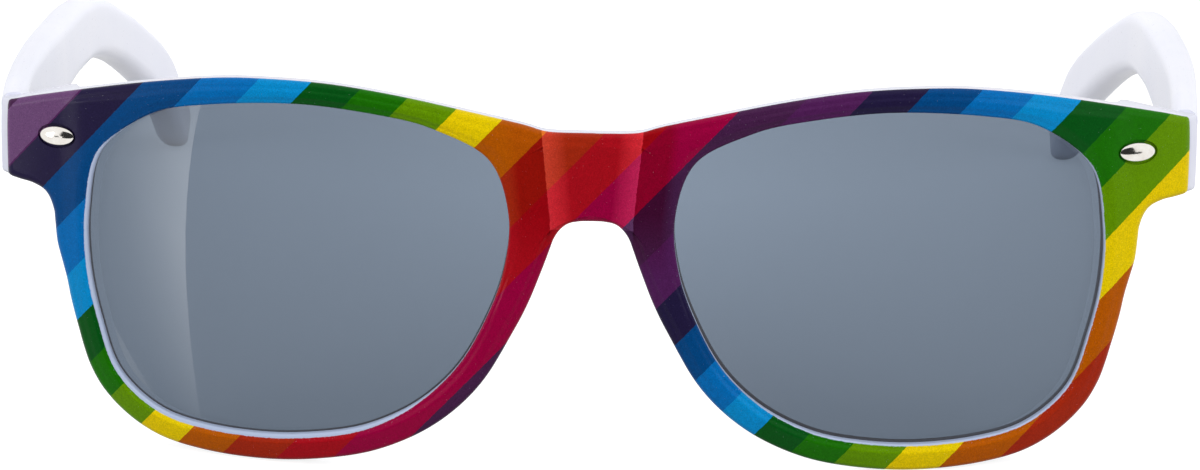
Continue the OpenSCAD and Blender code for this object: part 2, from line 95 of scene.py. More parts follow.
def mix(a: Any, b: Any, t: float) -> Any:
    """The value a share t of the way from a to b."""
    return a + (b - a) * t


def unit(v: np.ndarray) -> np.ndarray:
    """The vector v at length 1."""
    return v / max(1e-9, float(np.linalg.norm(v)))


def right_of(v: np.ndarray) -> np.ndarray:
    """The vector v of the front plane, turned a quarter to its right."""
    return np.array([v[1], -v[0]])


def spline(p0: np.ndarray, p1: np.ndarray, p2: np.ndarray, p3: np.ndarray, t: float) -> np.ndarray:
    """Point of a smooth curve between two of its four points.

    Args:
        p0: Point before the stretch.
        p1: Start of the stretch.
        p2: End of the stretch.
        p3: Point after the stretch.
        t: Share of the stretch, from 0 to 1.

    Returns:
        The point on the curve.
    """
    return 0.5 * (2 * p1 + (p2 - p0) * t + (2 * p0 - 5 * p1 + 4 * p2 - p3) * t * t
                  + (3 * p1 - p0 - 3 * p2 + p3) * t ** 3)


def on_loop(points: np.ndarray, u: float) -> np.ndarray:
    """Point of a closed smooth curve.

    Args:
        points: The control points, in order round the curve.
        u: Place on the curve, counted in control points.

    Returns:
        The point on the curve.
    """
    n = len(points)
    v = u + n
    i = math.floor(v)
    return spline(*(points[(i + k) % n] for k in (-1, 0, 1, 2)), v - i)


def on_line(points: np.ndarray, s: float) -> np.ndarray:
    """Point of an open smooth curve.

    Args:
        points: The control points, in order along the curve.
        s: Place on the curve, counted in control points.

    Returns:
        The point on the curve.
    """
    n = len(points) - 1
    i = min(n - 1, max(0, math.floor(s)))
    before = 2 * points[0] - points[1] if i == 0 else points[i - 1]
    after = 2 * points[n] - points[n - 1] if i + 1 == n else points[i + 2]
    return spline(before, points[i], points[i + 1], after, s - i)


def lookup(s: float, table: Sequence[Sequence[float]]) -> float:
    """The second column of a table, read at s in its first."""
    return float(np.interp(s, [row[0] for row in table], [row[1] for row in table]))


def srgb(code: str) -> Colour:
    """Linear colour of a six-figure screen colour.

    Args:
        code: The colour as rrggbb.

    Returns:
        Red, green, blue and an alpha of 1.
    """
    parts = [int(code[i:i + 2], 16) / 255 for i in (0, 2, 4)]
    linear = [c / 12.92 if c <= 0.04045 else ((c + 0.055) / 1.055) ** 2.4 for c in parts]
    return (linear[0], linear[1], linear[2], 1.0)


@dataclass(frozen=True)
class Stand:
    """Leans the datum frame back onto the ground and turns it to metres."""

    lean: float
    shift: Place

    @classmethod
    def on_hinge(cls, joint: dict[str, Any], hinge: Place) -> "Stand":
        """Finds the stand from one packed hinge.

        Args:
            joint: The joint's record, with its place and axis.
            hinge: The middle of the same hinge in the datum frame, in millimetres.

        Returns:
            The stand that brings the hinge to its packed place.
        """
        axis, place = joint["axis"], joint["pos_m"]
        lean = math.atan2(axis[1], axis[2])
        x, y, z = hinge
        cos, sin = math.cos(lean), math.sin(lean)
        turned = (x, y * cos + z * sin, z * cos - y * sin)
        shift = tuple(place[i] / MM - turned[i] for i in range(3))
        return cls(lean, (0.0, shift[1], shift[2]))

    @property
    def matrix(self) -> Matrix:
        """The stand as a matrix from millimetres to metres."""
        return (Matrix.Scale(MM, 4) @ Matrix.Translation(self.shift)
                @ Matrix.Rotation(-self.lean, 4, "X"))

    def direction(self, x: float, y: float, z: float) -> Vector:
        """A direction of the datum frame, leaned with the rest."""
        return Matrix.Rotation(-self.lean, 3, "X") @ Vector((x, y, z))


@dataclass(frozen=True)
class Wrap:
    """Cylinder that the front and the lenses wrap round."""

    radius: float = 150.0

    def depth(self, x: float, layer: float = 0.0) -> float:
        """Depth of a layer at x, the layer counted back from the front."""
        return self.radius - math.sqrt((self.radius - layer) ** 2 - x * x)


@dataclass
class LensShape:
    """Outline of one lens opening, on the wearer's left."""

    width: float = 52.0
    height: float = 40.6
    bridge: float = 19.9
    shares: Sequence[Point] = (
        (-0.91, 0.71), (-0.67, 0.875), (-0.43, 0.95), (-0.02, 1), (0.42, 0.965), (0.70, 0.88),
        (0.935, 0.635), (1, 0.27), (0.995, -0.07), (0.94, -0.39), (0.85, -0.69), (0.66, -0.895),
        (0.42, -0.978), (0.10, -1), (-0.205, -0.957), (-0.41, -0.878), (-0.605, -0.735),
        (-0.77, -0.527), (-0.89, -0.26), (-0.978, 0.05), (-1, 0.387))
    half: np.ndarray = field(init=False)

    def __post_init__(self) -> None:
        """Turns the shares into points once."""
        self.half = np.array(self.shares, float)

    @property
    def inner_x(self) -> float:
        """x of the opening's side next to the nose."""
        return self.bridge / 2

    @property
    def outer_x(self) -> float:
        """x of the opening's outer side."""
        return self.inner_x + self.width

    @property
    def middle_x(self) -> float:
        """x of the opening's middle."""
        return self.inner_x + self.width / 2

    @property
    def top(self) -> float:
        """Height of the opening's top above its middle."""
        return self.height / 2

    def at(self, u: float) -> np.ndarray:
        """Point of the opening's edge."""
        share = on_loop(self.half, u)
        return np.array([self.middle_x + share[0] * self.width / 2, share[1] * self.height / 2])

    def out(self, u: float) -> np.ndarray:
        """Direction from the lens into the rim."""
        return -right_of(unit(self.at(u + 0.05) - self.at(u - 0.05)))


def mesh_of(name: str, points: Iterable[Sequence[float]], faces: Faces) -> Mesh:
    """Makes a mesh.

    Args:
        name: Name of the mesh.
        points: Its points.
        faces: Corner numbers of each face.

    Returns:
        The mesh, in no object yet.
    """
    mesh = bpy.data.meshes.new(name)
    mesh.from_pydata([tuple(p) for p in points], [], [tuple(f) for f in faces])
    return mesh


def linked(name: str, data: Any) -> Object:
    """Makes an object and links it to the scene.

    Args:
        name: Name of the object.
        data: The mesh, lamp or camera that it shows.

    Returns:
        The object, at the origin.
    """
    obj = bpy.data.objects.new(name, data)
    bpy.context.scene.collection.objects.link(obj)
    return obj


def strip(a: int, b: int, n: int, flip: bool = False) -> list[tuple[int, ...]]:
    """Four-cornered faces between two rings of points.

    Args:
        a: Number of the first ring's first point.
        b: Number of the second ring's first point.
        n: How many points each ring has.
        flip: If the faces look the other way.

    Returns:
        Corner numbers of each face.
    """
    pairs = [(k, (k + 1) % n) for k in range(n)]
    if flip:
        return [(a + k, a + m, b + m, b + k) for k, m in pairs]
    return [(a + k, b + k, b + m, a + m) for k, m in pairs]


def set_marks(mesh: Mesh, marks: dict[str, Sequence[float]]) -> None:
    """Stores values for the points of a mesh.

    Args:
        mesh: The mesh.
        marks: A value for each point, by the name that materials read.
    """
    for mark, values in marks.items():
        layer = mesh.attributes.new(mark, "FLOAT", "POINT")
        layer.data.foreach_set("value", np.asarray(values, np.float32))


def new_mesh(name: str, points: np.ndarray, faces: Faces, stand: Stand,
             marks: dict[str, Sequence[float]]) -> Object:
    """Makes a closed, smoothly shaded mesh from datum points.

    Args:
        name: Name of the object.
        points: Points in the datum frame, in millimetres.
        faces: Corner numbers of each face.
        stand: Brings the points to their place.
        marks: Values for each point, by the name that materials read.

    Returns:
        The linked object, at the origin.
    """
    mesh = mesh_of(name, points, faces)
    set_marks(mesh, marks)
    mesh.transform(stand.matrix)
    work = bmesh.new()
    work.from_mesh(mesh)
    bmesh.ops.remove_doubles(work, verts=work.verts, dist=1e-7)
    bmesh.ops.recalc_face_normals(work, faces=work.faces)
    work.to_mesh(mesh)
    work.free()
    obj = linked(name, mesh)
    shade(obj)
    return obj


def face_outward(obj: Object) -> None:
    """Turns every face of a closed mesh outward.

    Args:
        obj: The object whose mesh is turned.
    """
    work = bmesh.new()
    work.from_mesh(obj.data)
    bmesh.ops.recalc_face_normals(work, faces=work.faces[:])
    if work.calc_volume(signed=True) < 0:
        bmesh.ops.reverse_faces(work, faces=work.faces[:])
    work.to_mesh(obj.data)
    work.free()


def shade(obj: Object, sharp: float = SHARP) -> None:
    """Shades a mesh smoothly, apart from edges sharper than an angle in degrees."""
    obj.data.shade_smooth()
    obj.data.set_sharp_from_angle(angle=math.radians(sharp))


def settle(obj: Object) -> None:
    """Applies an object's modifiers.

    Args:
        obj: The object, whose mesh is replaced.
    """
    graph = bpy.context.evaluated_depsgraph_get()
    mesh = bpy.data.meshes.new_from_object(obj.evaluated_get(graph), depsgraph=graph)
    obj.modifiers.clear()
    obj.data = mesh


def carve(obj: Object, cutter: Object) -> None:
    """Cuts one closed mesh out of another.

    Args:
        obj: The object to cut.
        cutter: The object to cut with, which is removed.
    """
    cut = obj.modifiers.new("cut", "BOOLEAN")
    cut.operation, cut.solver, cut.object = "DIFFERENCE", "EXACT", cutter
    settle(obj)
    bpy.data.objects.remove(cutter)


def prism(name: str, outline: Sequence[Point], low: float, high: float, place: Matrix) -> Object:
    """Makes an upright prism, in millimetres, and brings it to its place.

    Args:
        name: Name of the object.
        outline: Corners of its base, anticlockwise.
        low: Height of its base.
        high: Height of its top.
        place: Matrix from the prism's own frame to the row's metres.

    Returns:
        The linked prism.
    """
    n = len(outline)
    points = [(x, y, low) for x, y in outline] + [(x, y, high) for x, y in outline]
    faces = [tuple(range(n - 1, -1, -1)), tuple(range(n, 2 * n))]
    mesh = mesh_of(name, points, faces + strip(0, n, n, flip=True))
    mesh.transform(place)
    if place.determinant() < 0:
        mesh.flip_normals()
    return linked(name, mesh)


class Tree:
    """A node tree that is written from left to right, with named inputs."""

    def __init__(self, tree: NodeTree) -> None:
        """Wraps a tree that Blender has made."""
        self.tree = tree

    def takes(self, name: str, kind: str, value: Any = None) -> None:
        """Adds a named input.

        Args:
            name: The input's name.
            kind: Blender's name of the kind of socket.
            value: Its value, where it has one.
        """
        socket = self.tree.interface.new_socket(name, in_out="INPUT", socket_type=kind)
        if value is not None:
            socket.default_value = value

    def gives(self, name: str, kind: str) -> None:
        """Adds a named output."""
        self.tree.interface.new_socket(name, in_out="OUTPUT", socket_type=kind)

    def add(self, kind: str, inputs: dict[Any, Any] | None = None, **settings: Any) -> Node:
        """Adds a node.

        Args:
            kind: Blender's name of the node.
            inputs: Values or output sockets, by the input's name or number.
            settings: Properties of the node.

        Returns:
            The node.
        """
        node = self.tree.nodes.new(kind)
        for key, value in settings.items():
            setattr(node, key, value)
        for key, value in (inputs or {}).items():
            if isinstance(value, NodeSocket):
                self.tree.links.new(value, node.inputs[key])
            else:
                node.inputs[key].default_value = value
        return node

    def first(self, kind: str, inputs: dict[Any, Any] | None = None, **settings: Any) -> NodeSocket:
        """Adds a node and returns its first output; add says what the arguments are."""
        return self.add(kind, inputs, **settings).outputs[0]

    def find(self, kind: str) -> Node:
        """The node of a kind that Blender has put in the tree itself."""
        return next(n for n in self.tree.nodes if n.type == kind)

    def lead(self, source: NodeSocket, target: NodeSocket) -> None:
        """Leads an output into an input."""
        self.tree.links.new(source, target)

    def math(self, operation: str, *terms: Any) -> NodeSocket:
        """Output of a math node over numbers or sockets."""
        return self.first("ShaderNodeMath", dict(enumerate(terms)), operation=operation)

    def plus(self, a: Any, b: Any) -> NodeSocket:
        """The sum of two numbers or sockets."""
        return self.math("ADD", a, b)

    def minus(self, a: Any, b: Any) -> NodeSocket:
        """What is left of a after b is taken off."""
        return self.math("SUBTRACT", a, b)

    def times(self, a: Any, b: Any) -> NodeSocket:
        """The product of two numbers or sockets."""
        return self.math("MULTIPLY", a, b)

    def split(self, vector: Any) -> tuple[NodeSocket, NodeSocket, NodeSocket]:
        """The x, y and z of a vector."""
        return tuple(self.add("ShaderNodeSeparateXYZ", {"Vector": vector}).outputs)

    def join(self, x: Any = 0.0, y: Any = 0.0, z: Any = 0.0) -> NodeSocket:
        """The vector of three numbers or sockets."""
        return self.first("ShaderNodeCombineXYZ", {"X": x, "Y": y, "Z": z})

    def dot(self, place: Any, axis: Vector) -> NodeSocket:
        """How far a place lies along an axis."""
        terms = {0: place, 1: tuple(axis)}
        return self.add("ShaderNodeVectorMath", terms, operation="DOT_PRODUCT").outputs["Value"]

    def mark(self, name: str) -> NodeSocket:
        """The value that the mesh's points have under a name."""
        return self.add("ShaderNodeAttribute", attribute_name=name).outputs["Fac"]

    def about(self, value: Any, swing: float) -> NodeSocket:
        """A value between 0 and 1 turned into one that swings evenly about nought."""
        return self.times(self.minus(value, 0.5), swing)

    def blend(self, share: Any, a: Any, b: Any, how: str = "MIX") -> NodeSocket:
        """Output of a colour mix over colours or sockets."""
        node = self.add("ShaderNodeMix", {0: share, 6: a, 7: b}, data_type="RGBA", blend_type=how)
        return node.outputs[2]

    def span(self, value: Any, low: float, high: float, to_low: float = 0.0,
             to_high: float = 1.0) -> NodeSocket:
        """Maps one range of numbers to another.

        Args:
            value: The number or socket to map.
            low: Start of its range.
            high: End of its range.
            to_low: What the start becomes.
            to_high: What the end becomes.

        Returns:
            The mapped value, held at both ends.
        """
        return self.first("ShaderNodeMapRange", {"Value": value, "From Min": low, "From Max": high,
                                                 "To Min": to_low, "To Max": to_high})

    def noise(self, where: Any, size: float, detail: float = 3.0, rough: float = 0.5) -> NodeSocket:
        """Adds a noise.

        Args:
            where: The coordinates.
            size: How large its spots are, in metres.
            detail: How many finer layers it has.
            rough: How strong the finer layers are.

        Returns:
            The noise, from 0 to 1.
        """
        node = self.add("ShaderNodeTexNoise", {"Vector": where, "Scale": 1 / size, "Detail": detail,
                                               "Roughness": rough})
        return node.outputs["Fac"]


def shader_group(name: str, inputs: Sequence[tuple[str, str, Any]],
                 outputs: Sequence[tuple[str, str]]) -> tuple[Tree, Any, Any]:
    """Starts a shader group.

    Args:
        name: The group's name.
        inputs: Name, kind and value of each input.
        outputs: Name and kind of each output.

    Returns:
        The group's tree, what its inputs give and the sockets of its outputs.
    """
    tree = Tree(bpy.data.node_groups.new(name, "ShaderNodeTree"))
    for label, kind, value in inputs:
        tree.takes(label, kind, value)
    for label, kind in outputs:
        tree.gives(label, kind)
    return tree, tree.add("NodeGroupInput").outputs, tree.add("NodeGroupOutput").inputs


def new_material(name: str) -> tuple[Material, Tree]:
    """Makes a material with nodes.

    Args:
        name: The material's name.

    Returns:
        The material and its tree.
    """
    material = bpy.data.materials.new(name)
    material.use_nodes = True
    return material, Tree(material.node_tree)


NUMBER, TINT, ARROW = "NodeSocketFloat", "NodeSocketColor", "NodeSocketVector"
SURFACE = [("Colour", TINT), ("Roughness", NUMBER), ("Height", NUMBER)]
ACRYLIC = 1.49


class Effects:
    """Shader groups that several finishes share."""

    def __init__(self) -> None:
        """Builds each group once."""
        self.moulded = self._moulded()
        self.handled = self._handled()

    @staticmethod
    def _moulded() -> NodeTree:
        """Skin of moulded plastic: slow changes of tone, flow ripple and fine grain.

        Returns:
            The group, which gives a colour, a roughness and a height.
        """
        tree, put, out = shader_group(
            "moulded_skin",
            [("Vector", ARROW, None), ("Colour", TINT, (1, 1, 1, 1)),
             ("Shade", TINT, (0.8, 0.8, 0.85, 1)), ("Gloss", NUMBER, 0.2), ("Matt", NUMBER, 0.3),
             ("Spot", NUMBER, 120.0)], SURFACE)
        cloud = tree.add("ShaderNodeTexNoise",
                         {"Vector": put["Vector"], "Scale": put["Spot"], "Detail": 4.0})
        slow = tree.span(cloud.outputs["Fac"], 0.3, 0.75)
        tree.lead(tree.blend(slow, put["Colour"], put["Shade"]), out["Colour"])
        grain = tree.noise(put["Vector"], 0.0003, 2.0)
        swing = tree.minus(put["Matt"], put["Gloss"])
        tree.lead(tree.plus(put["Gloss"], tree.times(swing, grain)), out["Roughness"])
        ripple = tree.noise(put["Vector"], 0.004, 1.0)
        height = tree.plus(tree.times(ripple, 0.8), tree.times(grain, 0.06))
        tree.lead(height, out["Height"])
        return tree.tree

    @staticmethod
    def _handled() -> NodeTree:
        """Surface of small metal parts: hairlines and faint stains.

        Returns:
            The group, which gives a colour, a roughness and a height.
        """
        tree, put, out = shader_group(
            "handled_metal",
            [("Vector", ARROW, None), ("Bright", TINT, (0.8, 0.8, 0.8, 1)),
             ("Dull", TINT, (0.6, 0.6, 0.6, 1)), ("Smooth", NUMBER, 0.1), ("Worn", NUMBER, 0.3)],
            SURFACE)
        stretched = tree.first("ShaderNodeMapping", {"Vector": put["Vector"], "Scale": (1, 1, 14)})
        lines = tree.noise(stretched, 0.0016, 4.0)
        share = tree.span(tree.noise(put["Vector"], 0.0011, 3.0), 0.35, 0.7)
        tree.lead(tree.blend(share, put["Bright"], put["Dull"]), out["Colour"])
        swing = tree.minus(put["Worn"], put["Smooth"])
        rough = tree.plus(put["Smooth"], tree.times(swing, tree.times(lines, share)))
        tree.lead(rough, out["Roughness"])
        tree.lead(lines, out["Height"])
        return tree.tree


@dataclass(frozen=True)
class Finish:
    """A surface finish, built as one material."""

    name: str = "finish"

    def open(self) -> tuple[Material, Tree, Any, Any]:
        """Makes the material and its shader.

        Returns:
            The material, its tree, its shader's inputs and its object coordinates.
        """
        material, tree = new_material(self.name)
        shader = tree.find("BSDF_PRINCIPLED").inputs
        return material, tree, shader, tree.add("ShaderNodeTexCoord").outputs["Object"]

    @staticmethod
    def skin(tree: Tree, group: NodeTree, inputs: dict[str, Any]) -> Any:
        """Places a shared group in the material and returns its outputs."""
        return tree.add("ShaderNodeGroup", inputs, node_tree=group).outputs

    @staticmethod
    def lay(tree: Tree, shader: Any, colour: Any, rough: Any, height: Any, relief: float) -> None:
        """Leads a surface into the shader.

        Args:
            tree: The material's tree.
            shader: The shader's inputs.
            colour: The surface's colour.
            rough: Its roughness.
            height: Its height, from 0 to 1.
            relief: How deep a height of 1 is, in metres.
        """
        bump = tree.first("ShaderNodeBump", {"Height": height, "Distance": relief, "Strength": 1.0})
        for name, source in (("Base Color", colour), ("Roughness", rough), ("Normal", bump)):
            tree.lead(source, shader[name])


@dataclass(frozen=True)
class Moulded(Finish):
    """Moulded plastic: its two tones, its gloss and how dense its clouds are."""

    colour: str = "f1f2fc"
    shade: str = "eaecf9"
    gloss: float = 0.24
    matt: float = 0.36
    spot: float = 60.0
    ripple: float = 0.00004

    def base(self, tree: Tree, effects: Effects, place: Any) -> Any:
        """Places the shared skin with this plastic's values.

        Args:
            tree: The material's tree.
            effects: The shared groups.
            place: Object coordinates.

        Returns:
            The skin's colour, roughness and height, by name.
        """
        return self.skin(tree, effects.moulded, {
            "Vector": place, "Colour": srgb(self.colour), "Shade": srgb(self.shade),
            "Gloss": self.gloss, "Matt": self.matt, "Spot": self.spot})


@dataclass(frozen=True)
class WhitePlastic(Moulded):
    """White moulded plastic, slightly blue, with a soft gloss."""

    name: str = "white_plastic"

    def build(self, effects: Effects) -> Material:
        """Makes the material.

        Args:
            effects: The shared groups.

        Returns:
            The material.
        """
        material, tree, shader, place = self.open()
        skin = self.base(tree, effects, place)
        shader["IOR"].default_value = ACRYLIC
        self.lay(tree, shader, skin["Colour"], skin["Roughness"], skin["Height"], self.ripple)
        return material


@dataclass(frozen=True)
class PrintedPlastic(Moulded):
    """White plastic with diagonal printed bands on its face."""

    name: str = "printed_plastic"
    colour: str = "e9eaf4"
    shade: str = "dddff0"
    gloss: float = 0.17
    matt: float = 0.30
    spot: float = 90.0
    ripple: float = 0.00003
    # The bands: their width, their direction, where the first starts and their colours in order.
    band: float = 6.715
    rise: float = 0.966
    turn_in: float = 0.063
    start: float = 3.87
    colours: tuple[str, ...] = (
        "4d1d52", "211a3c", "02447e", "0268b0", "0487c7", "055014", "1a6a03", "5e8c00", "e1c500",
        "b05500", "9f270e", "a40c1a", "95003a", "431e45")
    # The first band is painted paler at the end piece, as a painted sheen; the lip next to a lens
    # has no print.
    end_sheen_purple: str = "6a4672"
    end_x: tuple[float, float] = (-0.0555, -0.0575)
    # Painted shade: the bare lip and wall next to a lens take this bluish grey.
    lip: str = "b6c3de"
    # Painted highlight on the sides of the bridge panel and painted shade beside it, in millimetres
    # and shares.
    highlight_w: float = 2.8
    highlight_gain: float = 0.75
    beside_shade_w: tuple[float, float] = (4.5, 3.2)
    beside_shade_low: tuple[float, float] = (-7.0, 1.0)
    beside_shade_colour: Colour = (0.82, 0.25, 0.45, 1)
    beside_shade_green: tuple[float, float] = (0.03, 0.07)
    beside_shade_least: float = 0.15
    # Ragged edges: the size of the noise in metres, and its swing in bands or millimetres.
    band_rag: tuple[float, float] = (0.0005, 0.03)
    panel_rag: tuple[float, float] = (0.0004, 0.25)
    edge_rag: tuple[float, float] = (0.00035, 0.20)
    edge_soft: tuple[float, float] = (-0.02, 0.03)
    panel_soft: float = 0.06
    panel_foot: float = 1.0
    highlight_bend: float = 0.8
    highlight_wash: float = 0.02
    lip_shade_share: tuple[float, float] = (0.55, 0.9)
    # Missed specks, cloudy and grainy tone, and the gloss of the ink's film.
    speck: float = 0.00016
    speck_from: float = 0.785
    speck_clear: float = 0.24
    speck_near: tuple[float, float] = (0.6, 0.12)
    mottle: float = 0.0007
    mottle_tone: tuple[float, float] = (0.95, 1.05)
    grain: float = 0.00017
    grain_tone: tuple[float, float] = (0.78, 1.22)
    shine: float = 0.07
    film: float = 0.12

    def stripe(self, tree: Tree, place: Any, stand: Stand) -> Any:
        """Colour of the bands, with a painted sheen that pales the first band at the end piece.

        Args:
            tree: The material's tree.
            place: Object coordinates.
            stand: Gives the directions of the leaned datum frame.

        Returns:
            The socket with the band's colour.
        """
        across = stand.direction(1, -self.turn_in, -self.rise) / (self.band * MM)
        origin = stand.matrix @ Vector((0, 0, 0))
        offset = across.dot(origin) + self.start / self.band
        size, swing = self.band_rag
        waver = tree.about(tree.noise(place, size, 2.0), swing)
        band = tree.plus(tree.minus(tree.dot(place, across), offset), waver)
        share = tree.math("FRACT", tree.math("DIVIDE", band, float(len(self.colours))))
        ramp = tree.add("ShaderNodeValToRGB", {"Fac": share})
        stops = ramp.color_ramp
        stops.interpolation = "CONSTANT"
        for i, code in enumerate(self.colours):
            stop = stops.elements[0] if i == 0 else stops.elements.new(i / len(self.colours))
            stop.color = srgb(code)
        stops.elements.remove(stops.elements[len(stops.elements) - 1])
        # Painted sheen: the first band turns paler at the wearer's right end piece.
        first = tree.math("LESS_THAN", share, 1 / len(self.colours))
        sheen_at_end = tree.times(first, tree.span(tree.split(place)[0], *self.end_x))
        return tree.blend(sheen_at_end, ramp.outputs["Color"], srgb(self.end_sheen_purple))

    def thin(self, tree: Tree, place: Any, stand: Stand,
             panel: tuple[Point, Point]) -> tuple[Any, Any]:
        """Shares of the painted highlight on the bridge panel's sides, and of the painted shade
        beside it.

        Args:
            tree: The material's tree.
            place: Object coordinates.
            stand: Gives the directions of the leaned datum frame.
            panel: Height and half width of the panel at its foot and at its top.

        Returns:
            The share of painted highlight, inside the outline, and that of painted shade, outside
            it.
        """
        (low, low_x), (high, high_x) = panel
        origin = stand.matrix @ Vector((0, 0, 0))
        up = stand.direction(0, 0, 1) / MM
        height = tree.minus(tree.dot(place, up), up.dot(origin))
        half = tree.span(height, low, high, low_x, high_x)
        aside = tree.times(tree.math("ABSOLUTE", tree.split(place)[0]), 1 / MM)
        size, swing = self.panel_rag
        ragged = tree.about(tree.noise(place, size), swing)
        inside = tree.plus(tree.minus(half, aside), ragged)
        above = tree.math("GREATER_THAN", height, low - self.panel_foot)
        # The painted highlight fades inwards from the panel's edge; the painted shade lies in a
        # band just outside it.
        fade = tree.math("POWER", tree.span(inside, 0.0, self.highlight_w, 1.0, 0.0), self.highlight_bend)
        thin = tree.times(tree.times(fade, tree.span(inside, 0.0, self.panel_soft)), above)
        beside = tree.span(inside, -self.beside_shade_w[0], -self.beside_shade_w[1])
        outside = tree.times(beside, tree.span(inside, 0.0, self.panel_soft, 1.0, 0.0))
        thick = tree.times(outside, tree.span(height, *(low + step for step in self.beside_shade_low)))
        return thin, thick

    def build(self, effects: Effects, stand: Stand, panel: tuple[Point, Point]) -> Material:
        """Makes the material, with the bands laid over the plastic.

        Args:
            effects: The shared groups.
            stand: Gives the directions of the leaned datum frame.
            panel: Height and half width of the bridge panel at its foot and at its top.

        Returns:
            The material.
        """
        material, tree, shader, place = self.open()
        skin = self.base(tree, effects, place)
        depth = tree.mark("print_depth")
        size, swing = self.edge_rag
        ragged = tree.about(tree.noise(place, size, 3.0, 0.7), swing)
        cover = tree.span(tree.plus(depth, ragged), *self.edge_soft)
        speck = tree.noise(place, self.speck, 1.0)
        reach, more = self.speck_near
        near = tree.span(depth, 0.0, reach, more, 0.0)
        missed = tree.math("GREATER_THAN", tree.plus(speck, near), self.speck_from)
        cover = tree.times(cover, tree.minus(1.0, tree.times(missed, self.speck_clear)))
        ink = self.stripe(tree, place, stand)
        # Painted light at the bridge panel: a painted highlight lightens its sides and washes them
        # towards the plastic's white, and painted shade darkens the bands beside it, mostly those
        # with little green.
        thin, thick = self.thin(tree, place, stand, panel)
        green = tree.add("ShaderNodeSeparateColor", {"Color": ink}).outputs["Green"]
        thick = tree.times(thick, tree.span(green, *self.beside_shade_green, 1.0, self.beside_shade_least))
        lighter = tree.blend(1.0, ink, (1.0 + self.highlight_gain,) * 3 + (1,), "MULTIPLY")
        ink = tree.blend(thin, ink, lighter)
        ink = tree.blend(tree.times(thin, self.highlight_wash), ink, srgb(self.colour))
        ink = tree.blend(thick, ink, self.beside_shade_colour, "MULTIPLY")
        mottle = tree.noise(place, self.mottle, 4.0, 0.7)
        grain = tree.span(tree.noise(place, self.grain, 2.0, 0.8), 0.3, 0.7, *self.grain_tone)
        tone = tree.times(grain, tree.span(mottle, 0.3, 0.7, *self.mottle_tone))
        ink = tree.blend(1.0, ink, tone, "MULTIPLY")
        # Painted shade: the bare plastic next to the lens, where the groove lies in shadow, is
        # turned bluish grey.
        lens_side = tree.span(tree.mark("lens_side"), *self.lip_shade_share)
        bare = tree.blend(lens_side, skin["Colour"], srgb(self.lip))
        colour = tree.blend(cover, bare, ink)
        shader["Specular IOR Level"].default_value = self.shine
        film = tree.plus(skin["Height"], tree.times(mottle, self.film))
        self.lay(tree, shader, colour, skin["Roughness"], film, self.ripple)
        return material


@dataclass(frozen=True)
class SmokeLens(Finish):
    """Clear plastic dyed smoke grey, with painted light making it lighter towards the brow and the
    nose, and a painted shadow darkening its grooved edge.
    """

    name: str = "smoke_lens"
    tint: Colour = (0.131, 0.161, 0.205, 1)
    # Painted light: the tint turns this lighter colour towards the top and the nose.
    light: Colour = (0.190, 0.233, 0.296, 1)
    painted_light_x: float = 0.010
    reach: float = 0.088
    rise: tuple[float, float] = (0.0075, 0.0345)
    # Painted shadow of the groove along the lens's visible edge.
    edge: Colour = (0.02, 0.018, 0.02, 1)
    edge_soft: float = 0.03
    haze: float = 0.009
    haze_rough: float = 0.03

    def build(self) -> Material:
        """Makes the material, which lets light through on to what lies behind.

        Returns:
            The material.
        """
        material, tree, shader, place = self.open()
        # Painted light: lighter towards the top and towards the middle, standing in for brighter
        # light seen through the lens.
        x, _, z = tree.split(place)
        aside = tree.math("ABSOLUTE", tree.minus(x, self.painted_light_x))
        across = tree.span(aside, 0.0, self.reach, 1.0, 0.0)
        share = tree.times(across, tree.span(z, *self.rise))
        smoke = tree.blend(share, self.tint, self.light)
        # Painted shadow: the lens is darkened where the groove shades its visible edge.
        edge_shadow = tree.span(tree.mark("edge_depth"), -self.edge_soft, self.edge_soft)
        haze = tree.noise(place, self.haze, 2.0)
        tree.lead(tree.blend(edge_shadow, smoke, self.edge), shader["Base Color"])
        tree.lead(tree.span(haze, 0.3, 0.7, 0.0, self.haze_rough), shader["Roughness"])
        shader["Transmission Weight"].default_value = 1.0
        shader["IOR"].default_value = ACRYLIC
        veil = tree.first("ShaderNodeBsdfTransparent", {"Color": self.tint})
        path = tree.add("ShaderNodeLightPath")
        solid = tree.find("BSDF_PRINCIPLED").outputs[0]
        either = tree.first("ShaderNodeMixShader",
                            {0: path.outputs["Is Shadow Ray"], 1: solid, 2: veil})
        tree.lead(either, tree.find("OUTPUT_MATERIAL").inputs["Surface"])
        return material


@dataclass(frozen=True)
class Metal(Finish):
    """Small plated metal parts."""

    name: str = "metal"
    bright: Colour = (0.95, 0.92, 0.875, 1)
    dull: Colour = (0.86, 0.81, 0.75, 1)
    smooth: float = 0.11
    worn: float = 0.16
    relief: float = 0.000002

    def build(self, effects: Effects) -> Material:
        """Makes the material.

        Args:
            effects: The shared groups.

        Returns:
            The material.
        """
        material, tree, shader, place = self.open()
        skin = self.skin(tree, effects.handled, {
            "Vector": place, "Bright": self.bright, "Dull": self.dull,
            "Smooth": self.smooth, "Worn": self.worn})
        shader["Metallic"].default_value = 1.0
        self.lay(tree, shader, skin["Colour"], skin["Roughness"], skin["Height"], self.relief)
        return material


def dress(obj: Object, material: Material) -> None:
    """Gives a whole piece one material."""
    obj.data.materials.clear()
    obj.data.materials.append(material)


@dataclass
class Station:
    """One place round the front: outer point, place on the lens edge, if on the middle plane."""

    outer: np.ndarray
    lens_u: float
    on_plane: bool = False


